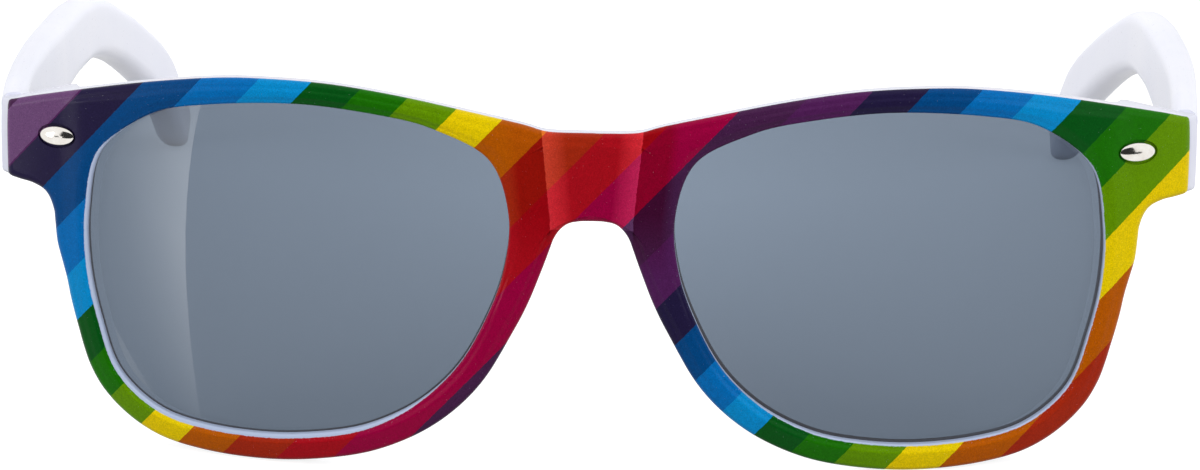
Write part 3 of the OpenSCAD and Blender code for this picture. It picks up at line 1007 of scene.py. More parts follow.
@dataclass
class FrontMoulding:
    """The one-piece front: rims, bridge with its raised panel, end pieces and nose pads."""

    stand: Stand
    lens: LensShape
    wrap: Wrap
    # Bridge, thickness and widths of the rims.
    bridge_top: float = 17.95
    bridge_low: float = 7.35
    arch_w: float = 8.8
    thick: float = 3.6
    rim_top: float = 2.8
    rim_side: float = 3.35
    rim_bottom: float = 3.25
    rim_nose: float = 3.5
    side_flare: float = 1.0
    # Rounded edge, crown of the face and raised panel.
    edge_r: float = 0.8
    crown: float = 0.2
    crown_low: float = 0.35
    panel_raise: float = 0.35
    panel_low_w: float = 10.0
    panel_top_w: float = 12.2
    panel_round: float = 1.5
    # End pieces, with the seat of the hinge.
    end_len: float = 10.75
    end_h: float = 9.6
    end_z: float = 13.45
    hinge_up: float = 0.6
    end_t: float = 3.9
    end_flare: float = 1.1
    end_corner: float = 0.9
    # Nose pads.
    pad_depth: float = 4.0
    pad_flare: float = 1.5
    # Lens, its groove and the lips on both sides of it.
    lens_inset: float = 1.3
    lens_t: float = 1.6
    groove_d: float = 0.9
    lens_fit: float = 0.12
    lip: float = 0.35
    back_open: float = 0.5
    side_open: float = 0.6
    lip_back: float = 0.8
    groove_keep: float = 0.15
    back_bevel: float = 0.1
    # Studs and their pockets.
    stud_l: float = 5.0
    stud_h: float = 2.45
    stud_in: float = 6.65
    stud_z: float = 14.35
    stud_sink: float = 0.35
    stud_gap: float = 0.3
    pocket_h: float = 3.0
    # Places on the lens edge, counted in its points: below, the nose, the arch, the bridge.
    low_u: Point = (9.5, 2.5)
    nose_turn_u: Point = (14.0, 3.0)
    nose_u: float = 17.6
    arch_u: float = 19.8
    bridge_u: float = 20.5
    # Edge of the print, for the wearer's right and left side where it has two values.
    bare_lip: tuple[float, float] = (0.55, 0.3)
    over_top: tuple[float, float] = (0.22, 0.0)
    lip_run: float = 1.2
    wall_print: float = 0.6
    pocket_ink: float = 3.0
    unedged: float = 9.0
    unprinted: Point = (-1.0, -1.0)
    # Where a smooth rise starts and how far it runs; one that runs backwards is below nought.
    crown_rise: Point = (0.35, 1.5)
    crown_end: Point = (0.5, 3.5)
    seat_side: Point = (1.3, 1.5)
    seat_low: Point = (-3.2, 2.2)
    pad_foot: Point = (-13.0, 6.0)
    pad_head: Point = (5.5, -6.0)
    pad_side: Point = (8.0, -5.0)
    flare_run: Point = (-2.5, 2.0)
    low_rim: Point = (0.3, 0.6)
    tilt_to: float = 0.85
    pad_starts: Sequence[Point] = ((0.33, 1.0), (0.66, 3.2))
    pad_heights: Sequence[float] = (0.0, 0.0, 0.6, 1.0)
    # How finely the section is drawn, with the angles of its round edges.
    finer: int = 4
    plane_n: int = 19
    face_n: int = 36
    groove_n: int = 6
    edge_turns: Sequence[float] = (0, 12, 25, 40, 55, 72)
    lip_turns: Sequence[float] = (25, 50, 72, 90)
    back_turns: Sequence[float] = (0, 25, 50, 70, 90)
    back_steps: Sequence[float] = (0.03, 0.1, 0.2, 0.3, 0.4, 0.5, 0.6, 0.7, 0.8, 0.9, 0.96)

    @property
    def end_x(self) -> float:
        """x of the end face's front."""
        return self.lens.outer_x + self.end_len

    @property
    def end_top(self) -> float:
        """Height of the end piece's top."""
        return self.end_z + self.end_h / 2

    @property
    def end_low(self) -> float:
        """Height of the end piece's underside."""
        return self.end_z - self.end_h / 2

    @property
    def butt_y(self) -> float:
        """Depth of the face that the temple closes against."""
        return self.wrap.depth(self.end_x) + self.end_t

    @property
    def stud_x(self) -> float:
        """x of a stud's middle."""
        return self.end_x - self.stud_in

    def rim_width(self, u: float, step_u: float) -> float:
        """Width of the rim, from the step below the end piece round to the nose.

        Args:
            u: Place on the lens edge, counted in its points.
            step_u: Such a place at the step.

        Returns:
            The width.
        """
        side = self.rim_side + self.side_flare * (1 - ease(u - step_u))
        lower = mix(side, self.rim_bottom, swell(u, *self.low_u))
        return mix(lower, self.rim_nose, swell(u, *self.nose_turn_u))

    def edge_stations(self) -> list[Station]:
        """Places round the outer edge of one half.

        Returns:
            The places, from the bridge's top by way of the end piece to its underside.
        """
        lens = self.lens
        brow_z = lens.top + self.rim_top
        brow = [(0, self.bridge_top), (0.27 * lens.bridge, self.bridge_top + 0.1),
                (0.42 * lens.bridge, self.bridge_top + 0.85)]
        brow += [(lens.middle_x + x * lens.width / 2, brow_z + z) for x, z in (
            (-0.84, -3.1), (-0.51, -1.45), (-0.18, -0.3), (0.12, 0), (0.39, -0.25), (0.735, -1.4))]
        brow += [(lens.outer_x + 0.22 * self.end_len, mix(brow_z - 1.4, self.end_top, 0.5)),
                 (self.end_x - 0.3, self.end_top)]
        brow_u = ((0, -0.5), (1, -0.3), (2, -0.1), (3, 0.35), (4, 1.7), (5, 2.65), (6, 3.35),
                  (7, 3.95), (8, 4.95), (9, 5.35), (10, 5.6))
        step_x = lens.outer_x + self.rim_side + self.side_flare
        step_u = 7 + (0.27 - (self.end_low - 5.2) / lens.top) / 0.34
        low = self.end_low
        step = np.array([(self.end_x - 0.6, low), (mix(step_x, self.end_x, 0.72), low - 0.25),
                         (mix(step_x, self.end_x, 0.5), low - 0.5), (step_x + 1.75, low - 1.1),
                         (step_x + 0.95, low - 1.95), (step_x + 0.45, low - 3.1),
                         (step_x + 0.15, low - 4.3)])
        end_face = ((-0.9, -0.1, 5.62), (-0.3, 0.04, 5.64), (0, 0.35, 5.68), (0.12, 1.2, 5.75),
                    (0.2, self.end_h / 3, 5.85), (0.2, self.end_h * 0.6, 6.0),
                    (0.15, self.end_h - 1, 6.15), (0.02, self.end_h - 0.3, 6.22))

        def rim_at(u: float) -> np.ndarray:
            """Outer point of the rim beside a place on the lens edge."""
            return lens.at(u) + lens.out(u) * self.rim_width(u, step_u)

        shoulder = np.array([self.arch_w / 2, self.bridge_low - 2])
        foot = rim_at(self.nose_u)
        nose = np.array([foot, mix(foot, shoulder, 0.4) - (0.5, 0),
                         mix(foot, shoulder, 0.8) - (0.22, 0), shoulder,
                         (0.7 * shoulder[0], self.bridge_low - 0.5),
                         (0.35 * shoulder[0], self.bridge_low - 0.06), (0, self.bridge_low)])
        line = np.array(brow, float)
        found = [Station(on_line(line, k / 3), lookup(k / 3, brow_u)) for k in range(30)]
        found += [Station(np.array([self.end_x + x - 0.15, self.end_top - z]), u)
                  for x, z, u in end_face]
        found += [Station(on_line(step, k / 3), mix(6.3, step_u - 0.1, k / 18)) for k in range(18)]
        for k in range(34):
            u = mix(step_u, self.nose_u, k / 34)
            found.append(Station(rim_at(u), u))
        found += [Station(on_line(nose, 6 * k / 15), mix(self.nose_u, self.arch_u, k / 15))
                  for k in range(16)]
        return found

    def stations(self) -> list[Station]:
        """Places round one whole half of the front.

        Returns:
            The edge places made finer, then places up the middle plane.
        """
        rough = self.edge_stations()
        outer = [s.outer for s in rough]
        mirror = np.array([-1, 1])
        outer = [outer[1] * mirror] + outer + [outer[-2] * mirror]
        fine: list[Station] = []
        for i in range(len(rough) - 1):
            for k in range(self.finer):
                t = k / self.finer
                lens_u = mix(rough[i].lens_u, rough[i + 1].lens_u, t)
                fine.append(Station(spline(*outer[i:i + 4], t), lens_u))
        fine.append(rough[-1])
        fine[0].on_plane = fine[-1].on_plane = True
        for k in range(1, self.plane_n + 1):
            t = k / (self.plane_n + 1)
            z = mix(self.bridge_low + self.edge_r, self.bridge_top - self.edge_r, t)
            fine.append(Station(np.array([0.0, z]), mix(self.arch_u, self.bridge_u, t), True))
        return fine

    @property
    def panel_sizes(self) -> tuple[Point, Point]:
        """Height and half width of the bridge panel at its foot and at its top."""
        return (self.bridge_low, self.panel_low_w / 2), (self.bridge_top, self.panel_top_w / 2)

    def panel_x(self, z: float) -> float:
        """Half width of the raised bridge panel at a height."""
        t = clamp01((z - self.bridge_low) / (self.bridge_top - self.bridge_low))
        return mix(self.panel_low_w, self.panel_top_w, t) / 2

    def face_y(self, p: np.ndarray) -> float:
        """Depth of the front face, with the panel that rises in a quarter round."""
        t = clamp01((self.panel_x(p[1]) - p[0]) / self.panel_round)
        return self.wrap.depth(p[0]) - self.panel_raise * math.sqrt(t * (2 - t))

    def crowned(self, x: float) -> float:
        """Share of the full crown at x; the end pieces are plain."""
        return 1 - swell(x - self.lens.outer_x, *self.crown_end)

    def bare(self, out: np.ndarray, side: Side) -> float:
        """Width of the lens bevel that the print leaves bare, widest outside and below."""
        share = ease((0.9 * out[0] - 0.7 * out[1] + 0.35) / 0.9)
        return self.bare_lip[side is Side.LEFT] * share

    def over(self, inward: np.ndarray, side: Side) -> float:
        """How far the print runs over the outer edge onto the wall, upwards only."""
        return self.over_top[side is Side.LEFT] * ease(-inward[1])

    def back_y(self, p: np.ndarray) -> float:
        """Depth of the back, with the flat seat behind the end piece.

        Args:
            p: Point of the front plane.

        Returns:
            The depth there.
        """
        seat = (swell(p[0] - self.lens.outer_x, *self.seat_side)
                * swell(p[1] - self.end_low, *self.seat_low))
        return mix(self.wrap.depth(p[0], self.thick), self.butt_y, seat)

    def pad(self, p: np.ndarray) -> float:
        """Share of the nose pad's full depth.

        Args:
            p: Point of the outer edge.

        Returns:
            The share, 0 outside the pad.
        """
        if p[0] >= self.lens.middle_x:
            return 0.0
        return (swell(p[1], *self.pad_foot) * swell(p[1], *self.pad_head)
                * swell(p[0] - self.lens.inner_x, *self.pad_side))

    def flared(self, p: np.ndarray) -> np.ndarray:
        """A point of the back, moved out where the end piece widens."""
        return p + (self.end_flare * swell(p[0] - self.end_x, *self.flare_run), 0)

    def inset(self, outer: np.ndarray, inward: np.ndarray, r: float) -> np.ndarray:
        """Point where the face starts, held square at the end piece's corners.

        Args:
            outer: Point of the outer edge.
            inward: Direction into the front.
            r: Radius of the edge.

        Returns:
            The point, r inside the outer edge.
        """
        f = outer + inward * r
        if outer[0] > self.end_x - self.end_corner:
            f[0] = min(f[0], self.end_x + 0.05 - r)
            f[1] = min(max(f[1], self.end_low + r), self.end_top - r)
        return f

    def section(self, station: Station, inward: np.ndarray) -> list[tuple[float, ...]]:
        """Points from the outer edge across the face, down the groove and over the back.

        Args:
            station: The place round the front.
            inward: Direction from the outer edge into the front.

        Returns:
            x, y and z of each point, and its depth inside the print on the viewer's left and right.
        """
        o, q, m = station.outer, self.lens.at(station.lens_u), self.lens.out(station.lens_u)
        middle = station.on_plane and abs(inward[1]) < 0.5
        r = 0.0 if middle else self.edge_r
        f, j = self.inset(o, inward, r), q + m * self.lip
        width = float(np.linalg.norm(j - f))
        sides = (Side.RIGHT, Side.LEFT)
        over = [self.unedged if middle else self.over(inward, side) for side in sides]
        bare = [self.bare(m, side) for side in sides]
        rows: list[tuple[float, ...]] = []
        wall = self.wall_print
        rows.append((o[0], self.face_y(o) + r + wall * (r > 0), o[1], *(v - wall for v in over)))
        for a in self.edge_turns:
            t = math.radians(a)
            p = mix(o, f, 1 - math.cos(t))
            rows.append((p[0], self.face_y(p) + r * (1 - math.sin(t)), p[1],
                         *(v + r * t for v in over)))
        rise = min(self.crown_rise[0], self.crown_rise[1] / width)
        crease = (self.panel_x(o[1]) - f[0]) / max(1.0, j[0] - f[0])
        crosses = f[0] < self.panel_low_w / 2 and 0.1 < crease < 0.9
        half = (self.face_n - 1) // 2
        lip_run = self.lip * self.lip_run
        low = swell(-m[1], *self.low_rim)
        for k in range(self.face_n):
            t = k / (self.face_n - 1)
            if crosses:
                past = (k - half) / (self.face_n - 1 - half)
                t = crease * k / half if k <= half else mix(crease, 1, past)
            p = mix(f, j, t)
            even = self.crown * ease(t / rise) * self.crowned(p[0])
            tilted = self.crown_low * math.sin(math.pi / 2 * min(1.0, t / self.tilt_to))
            bulge = mix(even, tilted, low) * ease((1 - t) / rise)
            depth = [min(v + r * math.pi / 2 + width * t, width * (1 - t) + lip_run - w)
                     for v, w in zip(over, bare)]
            rows.append((p[0], self.face_y(p) - bulge, p[1], *depth))
        for a in self.lip_turns:
            t = math.radians(a)
            p = q + m * self.lip * (1 - math.sin(t))
            rows.append((p[0], self.wrap.depth(p[0]) + self.lip * (1 - math.cos(t)), p[1],
                         *(lip_run * (1 - a / 90) - w for w in bare)))
        opened = self.back_open + self.side_open * ease(m[0])
        g, b = q + m * self.groove_d, q + m * opened
        hold = q + m * min(opened, self.groove_d - self.groove_keep)
        floor = self.lens_inset + self.lens_t + 2 * self.lens_fit
        for p, layer in ((q, self.lip_back), (q, self.lens_inset), (g, self.lens_inset),
                         (g, floor), (hold, floor), (b, self.thick - self.back_bevel)):
            rows.append((p[0], self.wrap.depth(p[0], layer), p[1], *self.unprinted))
        k = self.pad(o)
        fb = f + inward * self.pad_flare * k
        back = float(np.linalg.norm(fb - b))
        pad_t = (0.0, *(min(share, run / back) for share, run in self.pad_starts), 1.0)
        for t in self.back_steps:
            p = mix(b, fb, t)
            height = float(np.interp(t, pad_t, self.pad_heights))
            p = mix(p, self.flared(p), ease(t))
            y = self.back_y(p) + self.pad_depth * k * height
            rows.append((p[0], y, p[1], *self.unprinted))
        fo, ob = self.flared(fb), self.flared(o + inward * self.pad_flare * k)
        depth = self.back_y(fo) + self.pad_depth * k
        edge = self.back_y(ob) + self.pad_depth * k
        for a in self.back_turns:
            t = math.radians(a)
            p = mix(fo, ob, math.sin(t))
            y = mix(depth, edge, math.sin(t)) - r * (1 - math.cos(t))
            rows.append((p[0], y, p[1], *self.unprinted))
        return rows

    def lens_side(self, count: int) -> np.ndarray:
        """Share of the way from the outer edge to the lens, along a section.

        Args:
            count: How many points a section has.

        Returns:
            The share of each point, 0 again on the back.
        """
        edge, groove = 1 + len(self.edge_turns), len(self.lip_turns) + self.groove_n
        share = np.clip((np.arange(count) - float(edge)) / self.face_n, 0.0, 1.0)
        share[edge + self.face_n + groove:] = 0.0
        return share

    def build(self) -> Object:
        """Makes the whole front, with the pockets of the two studs.

        Returns:
            The front.
        """
        stations = self.stations()
        last = len(stations) - self.plane_n - 1
        rows: list[tuple[float, ...]] = []
        for i, station in enumerate(stations):
            if i == 0:
                inward = np.array([0.0, -1.0])
            elif i == last:
                inward = np.array([0.0, 1.0])
            elif i > last:
                inward = np.array([1.0, 0.0])
            else:
                inward = right_of(unit(stations[i + 1].outer - stations[i - 1].outer))
            rows += self.section(station, inward)
        half = np.array(rows)
        n_sec, n_half = len(rows) // len(stations), len(half)
        faces: list[tuple[int, ...]] = []
        for i in range(len(stations)):
            for j in range(n_sec):
                k, m = (i + 1) % len(stations), (j + 1) % n_sec
                face = (i * n_sec + j, k * n_sec + j, k * n_sec + m, i * n_sec + m)
                if max(abs(half[v, 0]) for v in face) < 1e-6:
                    continue
                faces.append(face)
                faces.append(tuple(n_half + v for v in reversed(face)))
        points = np.concatenate([half[:, :3], half[:, :3] * (-1, 1, 1)])
        marks = {"print_depth": np.concatenate([half[:, 4], half[:, 3]]),
                 "lens_side": np.tile(self.lens_side(n_sec), 2 * len(stations))}
        obj = new_mesh("striped_front", points, faces, self.stand, marks)
        for side in Side:
            carve(obj, self.pocket(side))
            self.ink_pocket(obj, side)
        shade(obj)
        return obj

    def ink_pocket(self, obj: Object, side: Side) -> None:
        """Carries the print on to a pocket's rim, where the cut left no marks.

        Args:
            obj: The carved front.
            side: The wearer's side of the pocket.
        """
        a, b = self.pocket_half
        back = self.stud_place(side).inverted()
        depth, lens = (obj.data.attributes[mark].data for mark in ("print_depth", "lens_side"))
        for v in obj.data.vertices:
            q = back @ v.co
            if abs(q.z) < 1.0 and (q.x / a) ** 2 + (q.y / b) ** 2 < 1.05:
                depth[v.index].value, lens[v.index].value = self.pocket_ink, 0.0

    @property
    def pocket_half(self) -> Point:
        """Half the length and half the height of a stud's pocket."""
        return self.stud_l / 2 + self.stud_gap, self.stud_h / 2 + self.stud_gap

    def stud_place(self, side: Side) -> Matrix:
        """Finds where a stud sits.

        Args:
            side: The wearer's side.

        Returns:
            Matrix from the stud's own frame, +Z out of the face, to the row's metres.
        """
        turn = math.asin(self.stud_x / self.wrap.radius)
        place = (Matrix.Translation((self.stud_x, self.wrap.depth(self.stud_x), self.stud_z))
                 @ Matrix.Rotation(math.pi / 2, 4, "X") @ Matrix.Rotation(turn, 4, "Y"))
        return self.stand.matrix @ Matrix.Diagonal((side.value, 1, 1, 1)) @ place

    def pocket(self, side: Side) -> Object:
        """Makes the oval prism that cuts a stud's pocket.

        Args:
            side: The wearer's side.

        Returns:
            The prism, its points marked as the end of the print.
        """
        a, b = self.pocket_half
        turns = [math.radians(t) for t in range(0, 360, 5)]
        outline = [(a * math.cos(t), b * math.sin(t)) for t in turns]
        obj = prism("pocket", outline, -self.stud_sink, self.pocket_h, self.stud_place(side))
        count = len(obj.data.vertices)
        set_marks(obj.data, {"print_depth": [self.wall_print] * count, "lens_side": [0.0] * count})
        return obj


@dataclass
class LensPair:
    """The two smoke lenses, wrapped like the front and held in its groove."""

    front: FrontMoulding
    rings: int = 14
    around: int = 252
    # Width of the dark line, for the wearer's right and left lens, and the least that it has.
    line_w: tuple[float, float] = (0.2, 0.36)
    line_least: float = 0.02
    # How far inside the edge the even rings end, and the closer rings from there on.
    rim: float = 0.6
    steps: Sequence[float] = (-0.4, -0.3, -0.2, -0.1, 0.0)
    far_in: float = 20.0
    weld: float = 0.0005

    def shadow_line(self, out: np.ndarray, side: Side) -> float:
        """Width of the dark line at the visible edge: none above, widest below.

        Args:
            out: Direction from the lens into the rim.
            side: The wearer's side of the lens.

        Returns:
            The width in millimetres.
        """
        nose = mix(1.0, ease(0.2 - 1.3 * out[1]), ease(-2 * out[0]))
        return self.line_least + self.line_w[side is Side.LEFT] * ease(0.8 - 1.6 * out[1]) * nose

    def flat(self, side: Side) -> Object:
        """Makes a flat disc over the lens outline, at y = 0.

        Args:
            side: The wearer's side of the lens.

        Returns:
            The disc, its points marked with their distance from the dark line's edge.
        """
        front, lens = self.front, self.front.lens
        overlap = front.groove_d - front.lens_fit
        turns = [len(lens.shares) * k / self.around for k in range(self.around)]
        edge, out = [lens.at(u) for u in turns], [lens.out(u) for u in turns]
        middle = np.array([lens.middle_x, 0.0])
        points, marks = [(middle[0], 0.0, 0.0)], [-self.far_in]
        shares = [math.sin(math.pi / 2 * k / (self.rings - 3)) for k in range(1, self.rings - 2)]
        for share in shares:
            for p, m in zip(edge, out):
                q = mix(middle, p - m * self.rim, share)
                points.append((q[0], 0.0, q[1]))
                marks.append(self.shadow_line(m, side) - self.rim - self.far_in * (1 - share))
        insets = (*self.steps, overlap)
        for inset in insets:
            for p, m in zip(edge, out):
                q = p + m * inset
                points.append((q[0], 0.0, q[1]))
                marks.append(inset + self.shadow_line(m, side))
        n, rows = self.around, len(shares) + len(insets)
        faces: list[tuple[int, ...]] = [(0, 1 + k, 1 + (k + 1) % n) for k in range(n)]
        for r in range(rows - 1):
            faces += strip(1 + r * n, 1 + (r + 1) * n, n)
        mesh = mesh_of("lens", [(x * side.value, y, z) for x, y, z in points],
                       [f if side is Side.RIGHT else tuple(reversed(f)) for f in faces])
        set_marks(mesh, {"edge_depth": marks})
        return linked(f"smoke_lens_{side.word}", mesh)

    def wrap_tree(self) -> NodeTree:
        """Geometry nodes that thicken a flat sheet and wrap it round the front's cylinder.

        Returns:
            The node group.
        """
        tree = Tree(bpy.data.node_groups.new("wrapped_sheet", "GeometryNodeTree"))
        tree.takes("Geometry", "NodeSocketGeometry")
        for name, value in (("Wrap Radius", 150.0), ("Inset", 1.42), ("Thickness", 1.6),
                            ("Lean", 0.0), ("Shift Y", 0.0), ("Shift Z", 0.0), ("Scale", MM)):
            tree.takes(name, NUMBER, value)
        tree.takes("Material", "NodeSocketMaterial")
        tree.gives("Geometry", "NodeSocketGeometry")
        put, out = tree.add("NodeGroupInput").outputs, tree.add("NodeGroupOutput").inputs
        solid = tree.first("GeometryNodeExtrudeMesh",
                           {"Mesh": put["Geometry"], "Offset": tree.join(y=put["Thickness"]),
                            "Offset Scale": 1.0, "Individual": False}, mode="FACES")
        both = tree.add("GeometryNodeJoinGeometry")
        tree.lead(solid, both.inputs[0])
        tree.lead(tree.first("GeometryNodeFlipFaces", {"Mesh": put["Geometry"]}), both.inputs[0])
        whole = tree.first("GeometryNodeMergeByDistance",
                           {"Geometry": both.outputs[0], "Distance": self.weld})
        x, y, z = tree.split(tree.first("GeometryNodeInputPosition"))
        mark = tree.first("GeometryNodeInputNamedAttribute", {"Name": "edge_depth"},
                          data_type="FLOAT")
        behind = tree.math("GREATER_THAN", y, tree.times(put["Thickness"], 0.5))
        front_only = tree.minus(mark, tree.times(behind, self.front.unedged))
        whole = tree.first("GeometryNodeStoreNamedAttribute",
                           {"Geometry": whole, "Name": "edge_depth", "Value": front_only},
                           data_type="FLOAT", domain="POINT")
        layer = tree.minus(put["Wrap Radius"], tree.plus(y, put["Inset"]))
        reach = tree.math("SQRT", tree.minus(tree.times(layer, layer), tree.times(x, x)))
        bent = tree.join(x, tree.minus(put["Wrap Radius"], reach), z)
        moved = tree.first("GeometryNodeSetPosition", {"Geometry": whole, "Position": bent})
        stood = tree.first("GeometryNodeTransform",
                           {"Geometry": moved, "Rotation": tree.join(tree.times(put["Lean"], -1.0)),
                            "Translation": tree.join(y=put["Shift Y"], z=put["Shift Z"])})
        sized = tree.first("GeometryNodeTransform",
                           {"Geometry": stood, "Scale": tree.join(*[put["Scale"]] * 3)})
        real = tree.first("GeometryNodeRealizeInstances", {"Geometry": sized})
        done = tree.first("GeometryNodeSetMaterial",
                          {"Geometry": real, "Material": put["Material"]})
        tree.lead(done, out[0])
        return tree.tree

    def build(self, material: Material) -> dict[Side, Object]:
        """Makes both lenses.

        Args:
            material: The smoke tint.

        Returns:
            The lens of each side.
        """
        front, tree = self.front, self.wrap_tree()
        made = {}
        for side in Side:
            obj = self.flat(side)
            run_nodes(obj, tree, {
                "Wrap Radius": front.wrap.radius, "Inset": front.lens_inset + front.lens_fit,
                "Thickness": front.lens_t, "Lean": front.stand.lean,
                "Shift Y": front.stand.shift[1], "Shift Z": front.stand.shift[2],
                "Scale": MM, "Material": material})
            face_outward(obj)
            shade(obj)
            made[side] = obj
        return made


def run_nodes(obj: Object, tree: NodeTree, inputs: dict[str, Any]) -> None:
    """Runs geometry nodes on an object and keeps the result as its plain mesh.

    Args:
        obj: The object to change.
        tree: The geometry nodes.
        inputs: A value for each named input.
    """
    modifier = obj.modifiers.new("nodes", "NODES")
    modifier.node_group = tree
    for item in tree.interface.items_tree:
        if item.item_type == "SOCKET" and item.in_out == "INPUT" and item.name in inputs:
            modifier[item.identifier] = inputs[item.name]
    settle(obj)


@dataclass
class Temple:
    """One bent temple, with the shallow pocket of its hinge leaf."""

    front: FrontMoulding
    side: Side
    # The arm, from its root to the tip of the ear end.
    reach: float = 127.0
    height: float = 11.4
    ear_h: float = 8.4
    thick: float = 3.3
    ear_thick: float = 4.6
    tip_drop: float = 20.7
    spread: float = 3.8
    tip_in: float = 10.2
    proud: float = 0.1
    gap: float = 0.1
    bend_share: float = 0.55
    root_up: float = 0.3
    curl: float = 2.0
    edge_r: float = 1.9
    # The hinge's axis, and the pocket round its leaf.
    axis_in: float = 4.85
    axis_back: float = 1.35
    leaf_h: float = 5.4
    leaf_l: float = 10.5
    leaf_gap: float = 0.3
    leaf_sink: float = 0.15
    # How finely it is drawn, and how its sections and its tip are rounded.
    along: int = 150
    cap: int = 12
    corner_turns: Sequence[float] = (0, 12, 25, 38, 52, 65, 78, 90)
    side_n: int = 5
    least: Point = (0.4, 0.2)
    round_share: float = 0.82
    end_short: float = 0.06
    tip_least: float = 0.08
    tip_bend: float = 0.9
    # By share of the reach: middle line (parts of the tip's drop where below nought) and heights.
    ear_from: Point = (0.45, 0.24)
    line: Sequence[Point] = (
        (0, 0), (0.05, 0.6), (0.14, 0.75), (0.29, 0.8), (0.45, 0.85), (0.585, 1.5), (0.69, 1.5),
        (0.785, -0.06), (0.865, -0.258), (0.928, -0.49), (0.971, -0.832))
    high: Sequence[Point] = (
        (0, 0.86), (0.05, 0.98), (0.14, 1), (0.29, 0.96), (0.45, 0.92), (0.585, 0.85))
    ear: Sequence[Point] = (
        (0.585, 1.16), (0.69, 1.05), (0.785, 0.95), (0.928, 1.01), (0.971, 1))

    @property
    def root_z(self) -> float:
        """Height of the temple's middle at its root."""
        return self.front.end_z + self.root_up

    @property
    def axis_x(self) -> float:
        """x of the hinge's axis."""
        return self.front.end_x + self.front.end_flare + self.proud - self.axis_in

    def middle(self, s: float) -> np.ndarray:
        """Point of the middle line.

        Args:
            s: Place along the line, in control points.

        Returns:
            Its depth and height.
        """
        rise = [(self.front.butt_y + self.gap + a * self.reach,
                 self.root_z + b * (self.tip_drop if b < 0 else 1)) for a, b in self.line]
        return on_line(np.array(rise), s)

    def tall(self, s: float) -> float:
        """Height of the temple.

        Args:
            s: Place along the middle line, in control points.

        Returns:
            The height across the line.
        """
        share = on_line(np.array(self.line, float), s)[0]
        near = self.height * lookup(share, self.high)
        return mix(near, self.ear_h * lookup(share, self.ear), swell(share, *self.ear_from))

    def broad(self, s: float) -> float:
        """Thickness of the temple at s."""
        share = on_line(np.array(self.line, float), s)[0]
        return mix(self.thick, self.ear_thick, ease(share / self.bend_share))

    def outer_x(self, y: float) -> float:
        """x of the temple's outer face.

        Args:
            y: Depth.

        Returns:
            x at that depth.
        """
        t = (y - self.front.butt_y) / self.reach
        spread = math.sin(math.pi / 2 * clamp01(t / self.bend_share))
        curl = max(0.0, (t - self.bend_share) / (1 - self.bend_share)) ** self.curl
        return (self.front.end_x + self.front.end_flare + self.proud
                + self.spread * spread - self.tip_in * curl)

    def ring(self, s: float, ahead: float, tall: float, wide: float) -> list[Place]:
        """Rounded section of the temple.

        Args:
            s: Place along the middle line, in control points.
            ahead: Distance moved on along the line, past its end.
            tall: Share of the full height.
            wide: Share of the full thickness.

        Returns:
            The section's points.
        """
        c = self.middle(s)
        d = unit(self.middle(s + 0.05) - self.middle(s - 0.05))
        h = max(self.least[0], self.tall(s) / 2 * tall)
        t = max(self.least[1], self.broad(s) / 2 * wide)
        r = min(self.edge_r, self.round_share * t, self.round_share * h)
        m = c + d * ahead
        x = self.outer_x(m[0]) - self.thick / 2
        found = []
        for sx, sv, start in ((1, 1, 0), (-1, 1, 90), (-1, -1, 180), (1, -1, 270)):
            for a in self.corner_turns:
                turn = math.radians(start + a)
                v, w = sv * (h - r) + r * math.sin(turn), sx * (t - r) + r * math.cos(turn)
                found.append((x + w, m[0] - d[1] * v, m[1] + d[0] * v))
            if start in (0, 180):
                continue
            for k in range(1, self.side_n):
                v = mix(sv * (h - r), -sv * (h - r), k / self.side_n)
                found.append((x + sx * t, m[0] - d[1] * v, m[1] + d[0] * v))
        return found

    def build(self) -> Object:
        """Makes the temple.

        Returns:
            The temple.
        """
        end = len(self.line) - 1 - self.end_short
        rings = [self.ring(0.001 + end * k / self.along, 0, 1, 1) for k in range(self.along + 1)]
        for k in range(1, self.cap + 1):
            a = math.pi / 2 * k / self.cap
            wide = max(self.tip_least, math.cos(a) ** self.tip_bend)
            rings.append(self.ring(end, self.ear_h / 2 * math.sin(a) * 0.999, math.cos(a), wide))
        n = len(rings[0])
        points = np.array([p for ring in rings for p in ring]) * (self.side.value, 1, 1)
        faces = [tuple(range(n)), tuple(range(len(points) - n, len(points)))]
        for i in range(len(rings) - 1):
            faces += strip(i * n, (i + 1) * n, n)
        obj = new_mesh(f"white_temple_{self.side.word}", points, faces, self.front.stand, {})
        floor = self.axis_x + self.axis_in - self.thick + self.leaf_sink
        low = self.front.butt_y - 1
        high = self.front.butt_y + self.axis_back + self.leaf_l + self.leaf_gap
        half = self.leaf_h / 2 + self.leaf_gap
        hinge_z = self.front.end_z + self.front.hinge_up
        corners = [(floor - 5, low), (floor, low), (floor, high), (floor - 5, high)]
        place = self.front.stand.matrix @ Matrix.Diagonal((self.side.value, 1, 1, 1))
        carve(obj, prism("leaf_pocket", corners, hinge_z - half, hinge_z + half, place))
        shade(obj)
        return obj


